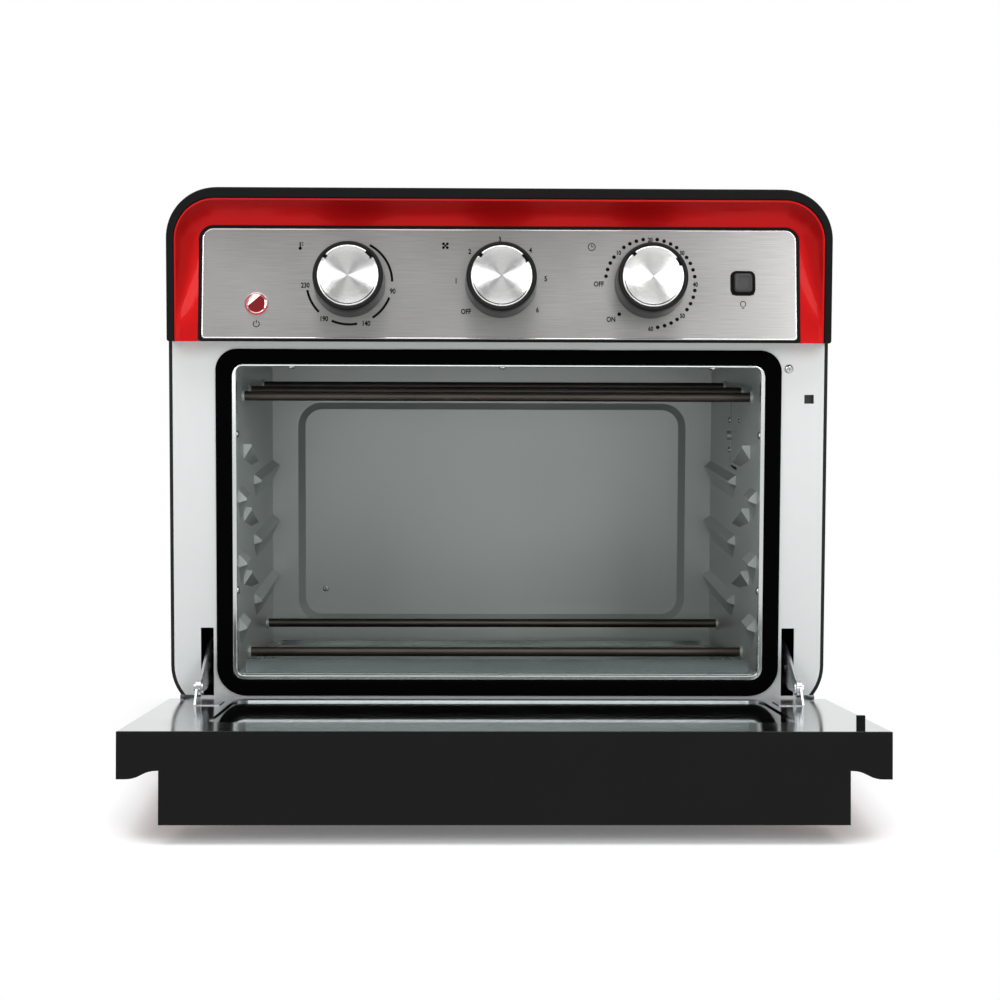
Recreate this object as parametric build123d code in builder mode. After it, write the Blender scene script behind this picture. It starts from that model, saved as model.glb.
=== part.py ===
from build123d import *
from math import cos, radians, sin
import os

# Counter-top air fryer oven, millimetres. +X is right, +Z is up and the mouth faces -Y.
# The origin is on the floor, under the middle of the whole object with its door open.
os.makedirs("parts", exist_ok=True)

# Overall sizes
width = 400.0
height = 348.6
body_depth = 340.0
foot_height = 28.0
outer_radius = 30.0

# Sheet metal and fits
sheet = 1.0
liner = 0.8
seat_gap = 0.2
running_gap = 0.05
tray_gap = 0.3

# Casing
hem_width = 2.0
hem_depth = 7.0
base_half = width / 2 - 35
vent_length = 26.0
vent_width = 3.0
vent_pitch = 8.0
gland_radius = 9.0
gland_bore = 3.6
gland_out = 8.0
gland_x = 50 - width / 2
gland_z = 60.0

# Mouth of the cavity, seen from the front
mouth_half = 159.4
mouth_low = 51.9
mouth_high = 240.8
mouth_radius = 4.0
rim_width = 3.0
rim_top = 1.6
rim_radius = 7.5
rim_front = 0.5
rim_depth = 5.0
rim_edge = 0.6
seal_width = 9.6
seal_top = 9.0
seal_low_radius = 18.0
seal_high_radius = 13.0
seal_proud = 2.2
seal_depth = 5.0
flange_top = 262.0
lip_depth = 3.5

# Cavity
cavity_half = mouth_half + liner
cavity_depth = 288.0
ceiling_z = 243.0
floor_z = 30.6
panel_half = 142.0
panel_low = 47.0
panel_high = 208.5
panel_radius = 17.5
panel_press = 5.0
ledge_levels = (87.0, 127.0, 167.0)
ledge_reach = 5.0
ledge_edge = 1.2
ledge_fall = 4.5
ledge_drop = 19.0
ledge_scoop = 14.0
rear_ledge_start = 131.0
rear_ledge_length = 154.0
front_ledge_start = 20.0
front_ledge_length = 30.0
front_ledge_fall = 6.0
front_ledge_drop = 23.0
louvre_start = 56.0
louvre_length = 52.0
louvre_high = 23.5
louvre_low = 11.0
louvre_edge = 1.6
louvre_scoop = 9.0

# Heating tubes
tube_radius = 3.0
tube_half = 174.0
upper_tube_heights = (221.2, 223.0, 223.0)
upper_tube_depths = (49.0, 97.0, 199.0)
lower_tube_z = 54.0
lower_tube_depths = (87.0, 230.0)
insulator_radius = 7.0
insulator_length = 10.0
neck_radius = 4.2
neck_reach = 1.5

# Fan in the ceiling
fan_depth = 150.0
fan_radius = 50.0
fan_blades = 10
fan_well_radius = 66.0
fan_well_height = 26.0
fan_shaft_radius = 3.0
blade_height = 15.0
motor_radius = 29.0
motor_height = 38.0

# Cavity lamp in the ceiling, right of the fan
lamp_x = 118.0
lamp_depth = 62.0
lamp_half_x = 20.0
lamp_half_y = 16.0
lamp_box_height = 24.0

# Slit and stud in the right wall
slit_depth = 165.0
slit_low = 170.0
slit_high = 216.0
slit_width = 7.0
slit_foot = 38.0
foot_width = 1.8
stud_z = 191.5
stud_radius = 2.9
stud_reach = 3.0
stud_bridge = 4.0

# Crumb tray
tray_half = cavity_half - ledge_reach - seat_gap
tray_front_depth = 7.0
tray_front_z = mouth_low + 0.4
tray_length = 270.0
tray_angle = 4.2
tray_lip = 8.4
tray_edge = 2.5

# Front housing and control panel
housing_low = 256.0
housing_out = 21.0
housing_draft = 1.2
housing_web = 0.8
frame_side = 5.7
frame_top = 7.4
band_in = 0.5
band_margin = 1.0
band_side = 14.2
band_top = 15.9
band_dip = 0.7
panel_lean = 10.0
panel_in = 0.75
panel_sheet = 1.0
panel_gap = 0.5
panel_corner = 6.6
lip_width = 1.35
lip_proud = 0.4

# Controls, placed on the control panel: across, and up the panel from its lower edge
knob_names = ("thermostat", "function", "timer")
knob_across = (-90.1, 0.7, 90.4)
knob_up = 36.2
skirt_radius = 21.3
skirt_top_radius = 19.3
skirt_height = 20.0
skirt_wall = 2.4
cap_radius = 18.3
cap_height = 3.2
knob_lift = 0.6
shaft_radius = 3.0
bush_radius = 4.6
bush_bore = shaft_radius + running_gap
control_radii = (17.0, 15.0, 22.0)
control_depths = (24.0, 20.0, 34.0)
power_across = -145.5
power_up = 22.8
lens_radius = 5.5
bezel_radius = 7.1
button_across = 146.0
button_up = 35.9
button_side = 11.6
button_gap = 0.3
button_frame_side = 15.0
button_proud = 3.0
button_travel = 2.0

# Door, measured from its hinge line: up the door, and outwards from the hinge line
hinge_ahead = 11.0
hinge_z = 31.0
door_angle = 85.0
door_low = -3.0
door_top = 223.0
door_inner = -8.0
door_outer = 12.0
door_sheet = 1.0
glass = 4.0
window_half = width / 2 - 40.5
window_low = 12.0
window_high = 165.0
window_radius = 10.0
rail_width = 4.4
rail_proud = 4.4
trim_width = 17.0
top_cap = 4.0
bottom_rail_high = 9.0
handle_half = width / 2 - 21.7
handle_out = 28.0
handle_drop = 25.0
handle_wall = 3.6
striker_x = width / 2 - 11.1
striker_up = door_top - 32.2
striker_side = 4.4
striker_height = 6.0
slot_width = 5.8
slot_height = 5.4

# Door hinges
ear_x = width / 2 - 10
ear_thickness = 2.0
ear_radius = 5.0
ear_clearance = 1.0
pin_radius = 2.0
pin_half = 4.5
plate_x = width / 2 - 21.8
plate_thickness = 1.2
plate_foot_half = 15.0
plate_foot_inner = 15.2
plate_foot = 0.5
pivot_up = 38.0
pivot_in = 9.0
pivot_radius = 2.0
arm_thickness = 1.5
arm_x = plate_x - arm_thickness - seat_gap
arm_rise = 18.0
arm_back = ((0, 4.2), (21, 3.6), (42, 3.2), (62, 1.2), (74, -1.2))
arm_belly = ((70, -5.6), (58.6, -13), (48, -16.5), (28, -14.5), (10, -7), (0, -4.5))
arm_holes = ((32, -6.5), (47, -9))
arm_hole_radius = 1.6
roller_radius = 4.5
roller_depth = 8.0
roller_z = 47.5
hinge_slot = (arm_x - 2.6, arm_x + 5.2)
hinge_slot_low = 39.3
hinge_slot_high = 81.2

# The front and rear of the whole object lie the same distance from the origin
open_angle = radians(door_angle)
door_reach = hinge_ahead + door_top * sin(open_angle) + (door_outer + handle_out) * cos(open_angle)
flange_y = (door_reach - body_depth - gland_out) / 2
case_middle = (foot_height + height) / 2
case_height = height - foot_height


def behind(depth):
    """Plane that faces the front, so many millimetres behind the front flange."""
    return Plane.XZ.offset(-(flange_y + depth))


def door_point(up, out):
    """Place on the open door, as (Y, Z), from its height on the door and its distance outwards."""
    return (
        flange_y - hinge_ahead - up * sin(open_angle) - out * cos(open_angle),
        hinge_z + up * cos(open_angle) - out * sin(open_angle),
    )


def door_plane(out):
    """Plane along the open door, X across and Y up the door, facing outwards."""
    y, z = door_point(0, out)
    return Plane(origin=(0, y, z), x_dir=(1, 0, 0), z_dir=(0, -cos(open_angle), -sin(open_angle)))


def door_section(up):
    """Plane across the open door, X across and Y outwards, facing down the door."""
    y, z = door_point(up, 0)
    return Plane(origin=(0, y, z), x_dir=(1, 0, 0), z_dir=(0, sin(open_angle), -cos(open_angle)))


def door_side(x):
    """Plane along the door's side, X up the door and Y outwards, facing right."""
    y, z = door_point(0, 0)
    return Plane(origin=(x, y, z), x_dir=(0, -sin(open_angle), cos(open_angle)), z_dir=(1, 0, 0))


def side_plane(x):
    """Upright plane along the object at X, with its X along Y and its Y along Z."""
    return Plane.YZ.offset(x)


def rounded(half, low, high, low_radius, high_radius, mode=Mode.ADD):
    """Rectangle about X = 0 with one radius at its lower and one at its upper corners."""
    with BuildLine() as loop:
        FilletPolyline(
            (-half, low), (half, low), (half, high), (-half, high),
            radius=[low_radius, low_radius, high_radius, high_radius], close=True,
        )
    make_face(loop.edges(), mode=mode)


def spin_plane(base):
    """Plane through an axis: X away from the axis and Y along it."""
    return Plane(origin=base.origin, x_dir=base.x_dir, z_dir=base.x_dir.cross(base.z_dir))


def finish(builder, label):
    """Name a piece and write it."""
    builder.part.label = label
    export_step(builder.part, f"parts/{label}.step")


# Casing: one wrap of painted sheet with a folded hem at the front and a gap for the base plate
with BuildPart() as outer_casing:
    with BuildSketch(behind(0)):
        with Locations((0, case_middle)):
            RectangleRounded(width, case_height, outer_radius)
            RectangleRounded(width - 2 * sheet, case_height - 2 * sheet, outer_radius - sheet, mode=Mode.SUBTRACT)
    extrude(amount=-body_depth)
    with BuildSketch(behind(0)):
        with Locations((0, case_middle)):
            RectangleRounded(width - sheet, case_height - sheet, outer_radius - sheet / 2)
            RectangleRounded(
                width - 2 * hem_width, case_height - 2 * hem_width, outer_radius - hem_width, mode=Mode.SUBTRACT
            )
    extrude(amount=-hem_depth)
    with BuildSketch(behind(hem_depth)):
        with Locations((0, foot_height)):
            Rectangle(2 * base_half, 4 * hem_width)
    extrude(amount=-body_depth, mode=Mode.SUBTRACT)
    with BuildSketch(side_plane(width / 2)):
        with Locations((flange_y + body_depth * 0.8, height - 60)):
            with GridLocations(0, vent_pitch, 1, 7):
                Rectangle(2 * vent_length, vent_width)
    extrude(amount=-width, mode=Mode.SUBTRACT)
finish(outer_casing, "outer_casing")

with BuildPart() as base_plate:
    with BuildSketch(Plane.XY.offset(foot_height)):
        with Locations((0, flange_y + hem_depth)):
            Rectangle(2 * base_half - seat_gap, body_depth - hem_depth - sheet, align=(Align.CENTER, Align.MIN))
        with Locations((0, flange_y + body_depth / 2)):
            with GridLocations(4 * vent_length, 3 * vent_pitch, 2, 5):
                Rectangle(3 * vent_length, vent_width, mode=Mode.SUBTRACT)
    extrude(amount=sheet)
finish(base_plate, "base_plate")

with BuildPart() as rear_panel:
    inside = 2 * (sheet + seat_gap / 2)
    with BuildSketch(behind(body_depth - sheet)):
        with Locations((0, case_middle)):
            RectangleRounded(width - inside, case_height - inside, outer_radius - sheet)
        with Locations((0, height - 90)):
            with GridLocations(4 * vent_length, vent_pitch, 3, 8):
                Rectangle(3.4 * vent_length, vent_width, mode=Mode.SUBTRACT)
        with Locations((gland_x, gland_z)):
            Circle(gland_radius - 2, mode=Mode.SUBTRACT)
    extrude(amount=-sheet)
finish(rear_panel, "rear_panel")

with BuildPart() as cord_gland:
    gland = Plane(origin=(gland_x, flange_y + body_depth, gland_z), x_dir=(1, 0, 0), z_dir=(0, 1, 0))
    with BuildSketch(spin_plane(gland)):
        with BuildLine():
            Polyline(
                (gland_bore, -sheet - 5), (gland_radius - 2 - seat_gap / 2, -sheet - 5),
                (gland_radius - 2 - seat_gap / 2, 0), (gland_radius, 0), (gland_radius, 2.5),
                (gland_bore + 2.4, gland_out), (gland_bore, gland_out), close=True,
            )
        make_face()
    revolve(axis=Axis(gland.origin, gland.z_dir))
finish(cord_gland, "cord_gland")

with BuildPart() as feet:
    with BuildSketch(Plane.XY):
        with Locations((0, flange_y + body_depth / 2)):
            with GridLocations(width - 100, body_depth - 90, 2, 2):
                Circle(10.5)
    extrude(amount=foot_height, taper=-5)
    with BuildSketch(Plane.XY.offset(foot_height - 3)):
        with Locations((0, flange_y + body_depth / 2)):
            with GridLocations(width - 100, body_depth - 90, 2, 2):
                Circle(15)
    extrude(amount=3)
finish(feet, "feet")

# Front flange: the bright plate round the mouth, with a rolled lip for the seal
with BuildPart() as front_flange:
    flange_half = width / 2 - hem_width - seat_gap / 2
    seal_half = mouth_half + rim_width + seal_width
    seal_low = mouth_low - rim_width - seal_width
    seal_high = mouth_high + rim_top + seal_top
    with BuildSketch(behind(0)):
        rounded(flange_half, foot_height + hem_width + seat_gap / 2, flange_top, outer_radius - hem_width, 1)
        rounded(seal_half, seal_low, seal_high, seal_low_radius, seal_high_radius, mode=Mode.SUBTRACT)
        with Locations(
            (-(hinge_slot[0] + hinge_slot[1]) / 2, (hinge_slot_low + hinge_slot_high) / 2),
            ((hinge_slot[0] + hinge_slot[1]) / 2, (hinge_slot_low + hinge_slot_high) / 2),
        ):
            Rectangle(hinge_slot[1] - hinge_slot[0], hinge_slot_high - hinge_slot_low, mode=Mode.SUBTRACT)
        with Locations((striker_x, hinge_z + striker_up)):
            Rectangle(slot_width, slot_height, mode=Mode.SUBTRACT)
    extrude(amount=-sheet)
    with BuildSketch(behind(sheet)):
        rounded(
            seal_half + liner, seal_low - liner, seal_high + liner, seal_low_radius + liner, seal_high_radius + liner
        )
        rounded(seal_half, seal_low, seal_high, seal_low_radius, seal_high_radius, mode=Mode.SUBTRACT)
    extrude(amount=-lip_depth)
finish(front_flange, "front_flange")

with BuildPart() as door_seal:
    with BuildSketch(behind(-seal_proud)):
        rounded(
            seal_half - seat_gap / 2, seal_low + seat_gap / 2, seal_high - seat_gap / 2,
            seal_low_radius, seal_high_radius,
        )
        rounded(
            mouth_half + rim_width + seat_gap / 2, mouth_low - rim_width - seat_gap / 2,
            mouth_high + rim_top + seat_gap / 2, rim_radius, rim_radius, mode=Mode.SUBTRACT,
        )
    extrude(amount=-(seal_proud + seal_depth))
    fillet(door_seal.faces().sort_by(Axis.Y)[0].edges(), radius=1.2)
finish(door_seal, "door_seal")

# Cavity
with BuildPart() as mouth_rim:
    with BuildSketch(behind(-rim_front)):
        rounded(mouth_half + rim_width, mouth_low - rim_width, mouth_high + rim_top, rim_radius, rim_radius)
        rounded(mouth_half, mouth_low, mouth_high, mouth_radius, mouth_radius, mode=Mode.SUBTRACT)
    extrude(amount=-(rim_front + rim_depth))
    fillet(mouth_rim.faces().sort_by(Axis.Y)[0].edges(), radius=rim_edge)
finish(mouth_rim, "mouth_rim")


def ledge(side, top, fall, drop, start, length):
    """Lug pressed out of a side wall: it carries a rack, and a scoop closes it at either end."""
    wall = side * (cavity_half + liner)
    edge = side * (cavity_half - ledge_reach)
    scoop = fall + ledge_edge + 2

    def section(depth, low):
        with BuildSketch(behind(depth)) as profile:
            with BuildLine():
                Polyline((wall, top), (edge, top - fall), (edge, top - fall - ledge_edge), (wall, top - low), close=True)
            make_face()
        return profile.sketch

    loft([section(start, scoop), section(start + ledge_scoop, drop)], ruled=True)
    extrude(section(start + ledge_scoop, drop), amount=-(length - 2 * ledge_scoop))
    loft([section(start + length - ledge_scoop, drop), section(start + length, scoop)], ruled=True)


def louvre(side, level):
    """Blade over a ledge that slopes down to the rear and keeps a rack from tipping."""
    start = flange_y + louvre_start
    end = start + louvre_length

    def outline(x, scoop):
        with BuildSketch(side_plane(side * x)) as profile:
            with BuildLine():
                Polyline(
                    (start, level + louvre_high), (end, level + louvre_low),
                    (end, level + louvre_low - louvre_edge - scoop / 3),
                    (start, level + louvre_high - louvre_edge - scoop), close=True,
                )
            make_face()
        return profile.sketch

    loft([outline(cavity_half + liner, louvre_scoop), outline(cavity_half - ledge_reach, 0)], ruled=True)


def cavity_wall(side):
    """Side wall of the cavity with its rack ledges, its tube holes and, on the right, its slit."""
    with BuildPart() as wall:
        with BuildSketch(side_plane(side * cavity_half)):
            with Locations((flange_y + rim_depth, floor_z)):
                Rectangle(cavity_depth - rim_depth, ceiling_z - floor_z, align=(Align.MIN, Align.MIN))
            with Locations(*tube_places()):
                Circle(neck_radius + seat_gap, mode=Mode.SUBTRACT)
            if side > 0:
                bridge = (flange_y + slit_depth - slit_width / 2, stud_z)
                with Locations((flange_y + slit_depth, slit_low)):
                    Rectangle(slit_width, slit_high - slit_low, align=(Align.MAX, Align.MIN), mode=Mode.SUBTRACT)
                    Rectangle(slit_foot, foot_width, align=(Align.MAX, Align.MIN), mode=Mode.SUBTRACT)
                with Locations(bridge):
                    Rectangle(slit_width, 2 * stud_bridge)
        extrude(amount=side * liner)
        for level in ledge_levels:
            ledge(side, level, ledge_fall, ledge_drop, rear_ledge_start, rear_ledge_length)
            ledge(side, level - 2, front_ledge_fall, front_ledge_drop, front_ledge_start, front_ledge_length)
            louvre(side, level)
        if side > 0:
            with BuildSketch(side_plane(cavity_half)) as stud:
                with Locations(bridge):
                    Circle(stud_radius)
            extrude(stud.sketch, amount=-stud_reach)
    return wall


def tube_places():
    """Centres of the heating tubes, as (Y, Z)."""
    upper = [(flange_y + depth, high) for depth, high in zip(upper_tube_depths, upper_tube_heights)]
    lower = [(flange_y + depth, lower_tube_z) for depth in lower_tube_depths]
    return upper + lower


finish(cavity_wall(-1), "cavity_wall_left")
finish(cavity_wall(1), "cavity_wall_right")

with BuildPart() as cavity_ceiling:
    with BuildSketch(Plane.XY.offset(ceiling_z)):
        with Locations((0, flange_y + rim_depth)):
            Rectangle(2 * (cavity_half + liner), cavity_depth - rim_depth, align=(Align.CENTER, Align.MIN))
        with Locations((0, flange_y + fan_depth)):
            Circle(fan_well_radius - 4, mode=Mode.SUBTRACT)
        with Locations((lamp_x, flange_y + lamp_depth)):
            RectangleRounded(2 * lamp_half_x, 2 * lamp_half_y, 4, mode=Mode.SUBTRACT)
    extrude(amount=liner)
finish(cavity_ceiling, "cavity_ceiling")

tray_slope = radians(tray_angle)
tray_base = Plane(
    origin=(0, flange_y + tray_front_depth, tray_front_z),
    x_dir=(1, 0, 0), z_dir=(0, sin(tray_slope), cos(tray_slope)),
)

with BuildPart() as cavity_floor:
    with BuildSketch(tray_base.offset(-tray_gap)):
        with Locations((0, rim_depth + seat_gap - tray_front_depth)):
            Rectangle(2 * cavity_half, cavity_depth - rim_depth - 1, align=(Align.CENTER, Align.MIN))
    extrude(amount=-liner)
finish(cavity_floor, "cavity_floor")

with BuildPart() as cavity_back:
    with BuildSketch(behind(cavity_depth)):
        with Locations((0, floor_z)):
            Rectangle(2 * (cavity_half + liner), ceiling_z + liner - floor_z, align=(Align.CENTER, Align.MIN))
    extrude(amount=-liner)
    with BuildSketch(behind(cavity_depth)):
        rounded(panel_half, panel_low, panel_high, panel_radius, panel_radius)
    extrude(amount=-(panel_press + liner), taper=45)
    with BuildSketch(behind(cavity_depth)):
        rounded(panel_half - liner / 2, panel_low + liner / 2, panel_high - liner / 2, panel_radius, panel_radius)
    extrude(amount=-panel_press, taper=45, mode=Mode.SUBTRACT)
finish(cavity_back, "cavity_back")


def tubes(places):
    """Straight heating tubes across the cavity."""
    with BuildPart() as group:
        with BuildSketch(side_plane(-tube_half)):
            with Locations(*places):
                Circle(tube_radius)
        extrude(amount=2 * tube_half)
    return group


finish(tubes(tube_places()[: len(upper_tube_depths)]), "upper_heaters")
finish(tubes(tube_places()[len(upper_tube_depths):]), "lower_heaters")

with BuildPart() as heater_insulators:
    for side in (-1, 1):
        with BuildSketch(side_plane(side * (cavity_half + liner))):
            with Locations(*tube_places()):
                Circle(insulator_radius)
                Circle(tube_radius + seat_gap / 2, mode=Mode.SUBTRACT)
        extrude(amount=side * insulator_length)
        with BuildSketch(side_plane(side * (cavity_half + liner))):
            with Locations(*tube_places()):
                Circle(neck_radius)
                Circle(tube_radius + seat_gap / 2, mode=Mode.SUBTRACT)
        extrude(amount=-side * (liner + neck_reach))
finish(heater_insulators, "heater_insulators")

# Fan: guard under the ceiling, well above it, motor on top of the well
fan_base = Plane(origin=(0, flange_y + fan_depth, ceiling_z), x_dir=(1, 0, 0), z_dir=(0, 0, 1))

with BuildPart() as fan_guard:
    with BuildSketch(fan_base.offset(-liner)):
        Circle(fan_well_radius)
        with PolarLocations(fan_well_radius - 16, 24):
            Rectangle(20, 5, mode=Mode.SUBTRACT)
        with PolarLocations(fan_well_radius - 41, 12):
            Rectangle(20, 5, mode=Mode.SUBTRACT)
    extrude(amount=liner)
finish(fan_guard, "fan_guard")

with BuildPart() as fan_housing:
    with BuildSketch(spin_plane(fan_base)):
        with BuildLine():
            Polyline(
                (fan_well_radius - 2, liner), (fan_well_radius + 6, liner), (fan_well_radius + 6, 2 * liner),
                (fan_well_radius - 1, 2 * liner), (fan_well_radius - 6, fan_well_height),
                (fan_shaft_radius + 2, fan_well_height), (fan_shaft_radius + 2, fan_well_height - liner),
                (fan_well_radius - 7, fan_well_height - liner), close=True,
            )
        make_face()
    revolve(axis=Axis(fan_base.origin, fan_base.z_dir))
finish(fan_housing, "fan_housing")

blade_low = 3.0
with BuildPart() as fan_impeller:
    with BuildSketch(fan_base.offset(blade_low + blade_height)):
        Circle(fan_radius)
    extrude(amount=liner)
    with BuildSketch(fan_base.offset(blade_low)):
        Circle(fan_shaft_radius + 4)
        with PolarLocations(0, fan_blades):
            with Locations((fan_radius * 0.6, 3)):
                Rectangle(fan_radius * 0.7, liner, rotation=14)
    extrude(amount=blade_height)
    with BuildSketch(fan_base.offset(blade_low + blade_height)):
        Circle(fan_shaft_radius)
    extrude(amount=motor_height)
finish(fan_impeller, "fan_impeller")

with BuildPart() as fan_motor:
    bore = fan_shaft_radius + running_gap
    top = fan_well_height + motor_height
    with BuildSketch(spin_plane(fan_base)):
        with BuildLine():
            Polyline(
                (bore, fan_well_height), (motor_radius + 8, fan_well_height),
                (motor_radius + 8, fan_well_height + 1.5), (motor_radius, fan_well_height + 1.5),
                (motor_radius, top - 12), (motor_radius - 7, top - 12), (motor_radius - 7, top),
                (0, top), (0, top - 5), (bore, top - 5), close=True,
            )
        make_face()
    revolve(axis=Axis(fan_base.origin, fan_base.z_dir))
finish(fan_motor, "fan_motor")

# Lamp over the ceiling: its window lies on a hole there, and its box covers the bulb
lamp_base = Plane(origin=(lamp_x, flange_y + lamp_depth, ceiling_z), x_dir=(1, 0, 0), z_dir=(0, 0, 1))
window_top = 2 * liner + 3

with BuildPart() as lamp_window:
    with BuildSketch(lamp_base.offset(liner)):
        RectangleRounded(2 * lamp_half_x + 8, 2 * lamp_half_y + 8, 5)
    extrude(amount=window_top - liner)
finish(lamp_window, "lamp_window")

with BuildPart() as lamp_box:
    with BuildSketch(lamp_base.offset(window_top)):
        RectangleRounded(2 * lamp_half_x + 8, 2 * lamp_half_y + 8, 5)
    extrude(amount=lamp_box_height)
    with BuildSketch(lamp_base.offset(window_top)):
        RectangleRounded(2 * lamp_half_x + 6, 2 * lamp_half_y + 6, 4)
    extrude(amount=lamp_box_height - sheet, mode=Mode.SUBTRACT)
finish(lamp_box, "lamp_box")

with BuildPart() as lamp_bulb:
    with BuildSketch(spin_plane(lamp_base.offset(window_top + lamp_box_height - sheet))):
        with BuildLine():
            Polyline((0, 0), (6, 0), (6, -7), (7.5, -11), (6, -16), (3, -18.5), (0, -18.5), close=True)
        make_face()
    revolve(axis=Axis(lamp_base.origin, lamp_base.z_dir))
finish(lamp_bulb, "lamp_bulb")

# Crumb tray: a shallow pan that slides up the sloping floor and out over the sill
with BuildPart() as crumb_tray:
    with BuildSketch(tray_base):
        Rectangle(2 * tray_half, tray_length, align=(Align.CENTER, Align.MIN))
    extrude(amount=tray_edge)
    with BuildSketch(tray_base.offset(liner)):
        with Locations((0, liner)):
            Rectangle(2 * (tray_half - liner), tray_length - 2 * liner, align=(Align.CENTER, Align.MIN))
    extrude(amount=tray_edge, mode=Mode.SUBTRACT)
    with BuildSketch(tray_base):
        Rectangle(2 * tray_half, liner, align=(Align.CENTER, Align.MIN))
    extrude(amount=tray_lip)
finish(crumb_tray, "crumb_tray")

# Housing: black frame, glossy band inside it, and the panel that leans back inside the band's lip
frame_half = width / 2 - frame_side
frame_high = height - frame_top
frame_radius = outer_radius - frame_side
opening_half = frame_half - band_side
opening_high = frame_high - band_top
lean = radians(panel_lean)
opening_height = (opening_high - housing_low) / cos(lean)
opening_corner = panel_corner + panel_gap + lip_width
panel_base = Plane(
    origin=(0, flange_y - housing_out + panel_in, housing_low), x_dir=(1, 0, 0), z_dir=(0, -cos(lean), sin(lean)),
)
rearward = (0, 1, 0)


def opening(inset, mode=Mode.ADD, low=None):
    """Outline of the panel's opening in the panel's plane, drawn in by an inset."""
    rounded(
        opening_half - inset, inset if low is None else low, opening_height - inset, 2, opening_corner - inset,
        mode=mode,
    )


with BuildPart() as housing_frame:
    with BuildSketch(behind(-housing_out)):
        rounded(width / 2 - housing_draft, housing_low, height - housing_draft, 1.5, outer_radius)
    with BuildSketch(behind(0)):
        rounded(width / 2, housing_low, height, 1.5, outer_radius)
    loft(ruled=True)
    with BuildSketch(behind(-housing_out)):
        rounded(frame_half, housing_low - 20, frame_high, 1, frame_radius)
    extrude(amount=-housing_out, mode=Mode.SUBTRACT)
    fillet(housing_frame.faces().sort_by(Axis.Y)[0].edges(), radius=1.0)
    with BuildSketch(behind(-housing_web)):
        rounded(frame_half + 1, housing_low, frame_high + 1, 1, frame_radius)
        rounded(
            opening_half - lip_width, housing_low + lip_width, opening_high - lip_width, 1,
            opening_corner - lip_width, mode=Mode.SUBTRACT,
        )
    extrude(amount=-housing_web)
    with BuildSketch(panel_base.offset(lip_proud)):
        opening(0)
        opening(lip_width, mode=Mode.SUBTRACT)
    extrude(amount=housing_out, dir=rearward)
    with BuildSketch(behind(0)):
        with Locations((0, case_middle)):
            Rectangle(width, height)
    extrude(amount=-housing_out, mode=Mode.SUBTRACT)
finish(housing_frame, "housing_frame")

with BuildPart() as red_band:
    band_front = band_in - housing_out
    band_half = frame_half - seat_gap
    band_high = frame_high - seat_gap
    with BuildSketch(behind(band_front)):
        rounded(band_half, housing_low, band_high, 1, frame_radius)
    extrude(amount=band_front + housing_web + seat_gap)
    with BuildSketch(behind(band_front)):
        rounded(band_half - band_margin, housing_low - 60, band_high - band_margin, 5, frame_radius - band_margin)
    middle_half = (band_half - band_margin + opening_half) / 2
    middle_high = (band_high - band_margin - housing_low + opening_height) / 2
    middle_lean = lean * band_dip
    with BuildSketch(
        Plane(
            origin=(0, flange_y + band_front, housing_low), x_dir=(1, 0, 0),
            z_dir=(0, -cos(middle_lean), sin(middle_lean)),
        )
    ):
        rounded(middle_half, -60, middle_high, 5, (frame_radius + opening_corner) / 2)
    with BuildSketch(panel_base):
        opening(-seat_gap, low=-60)
    loft(mode=Mode.SUBTRACT)
    with BuildSketch(panel_base):
        opening(-seat_gap, low=-60)
    extrude(amount=2 * housing_out, dir=rearward, mode=Mode.SUBTRACT)
finish(red_band, "red_band")


def on_panel(across, up):
    """Plane that lies on the control panel's face, at a place on it."""
    return Plane(
        origin=panel_base.from_local_coords(Vector(across, up, 0)), x_dir=(1, 0, 0), z_dir=panel_base.z_dir
    )


with BuildPart() as control_panel:
    with BuildSketch(panel_base):
        opening(lip_width + panel_gap)
        with Locations(*[(across, knob_up) for across in knob_across]):
            Circle(bush_radius + seat_gap, mode=Mode.SUBTRACT)
        with Locations((power_across, power_up)):
            Circle(lens_radius + seat_gap, mode=Mode.SUBTRACT)
        with Locations((button_across, button_up)):
            Rectangle(button_frame_side - 1.6, button_frame_side - 1.6, mode=Mode.SUBTRACT)
    extrude(amount=-panel_sheet)
finish(control_panel, "control_panel")

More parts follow.
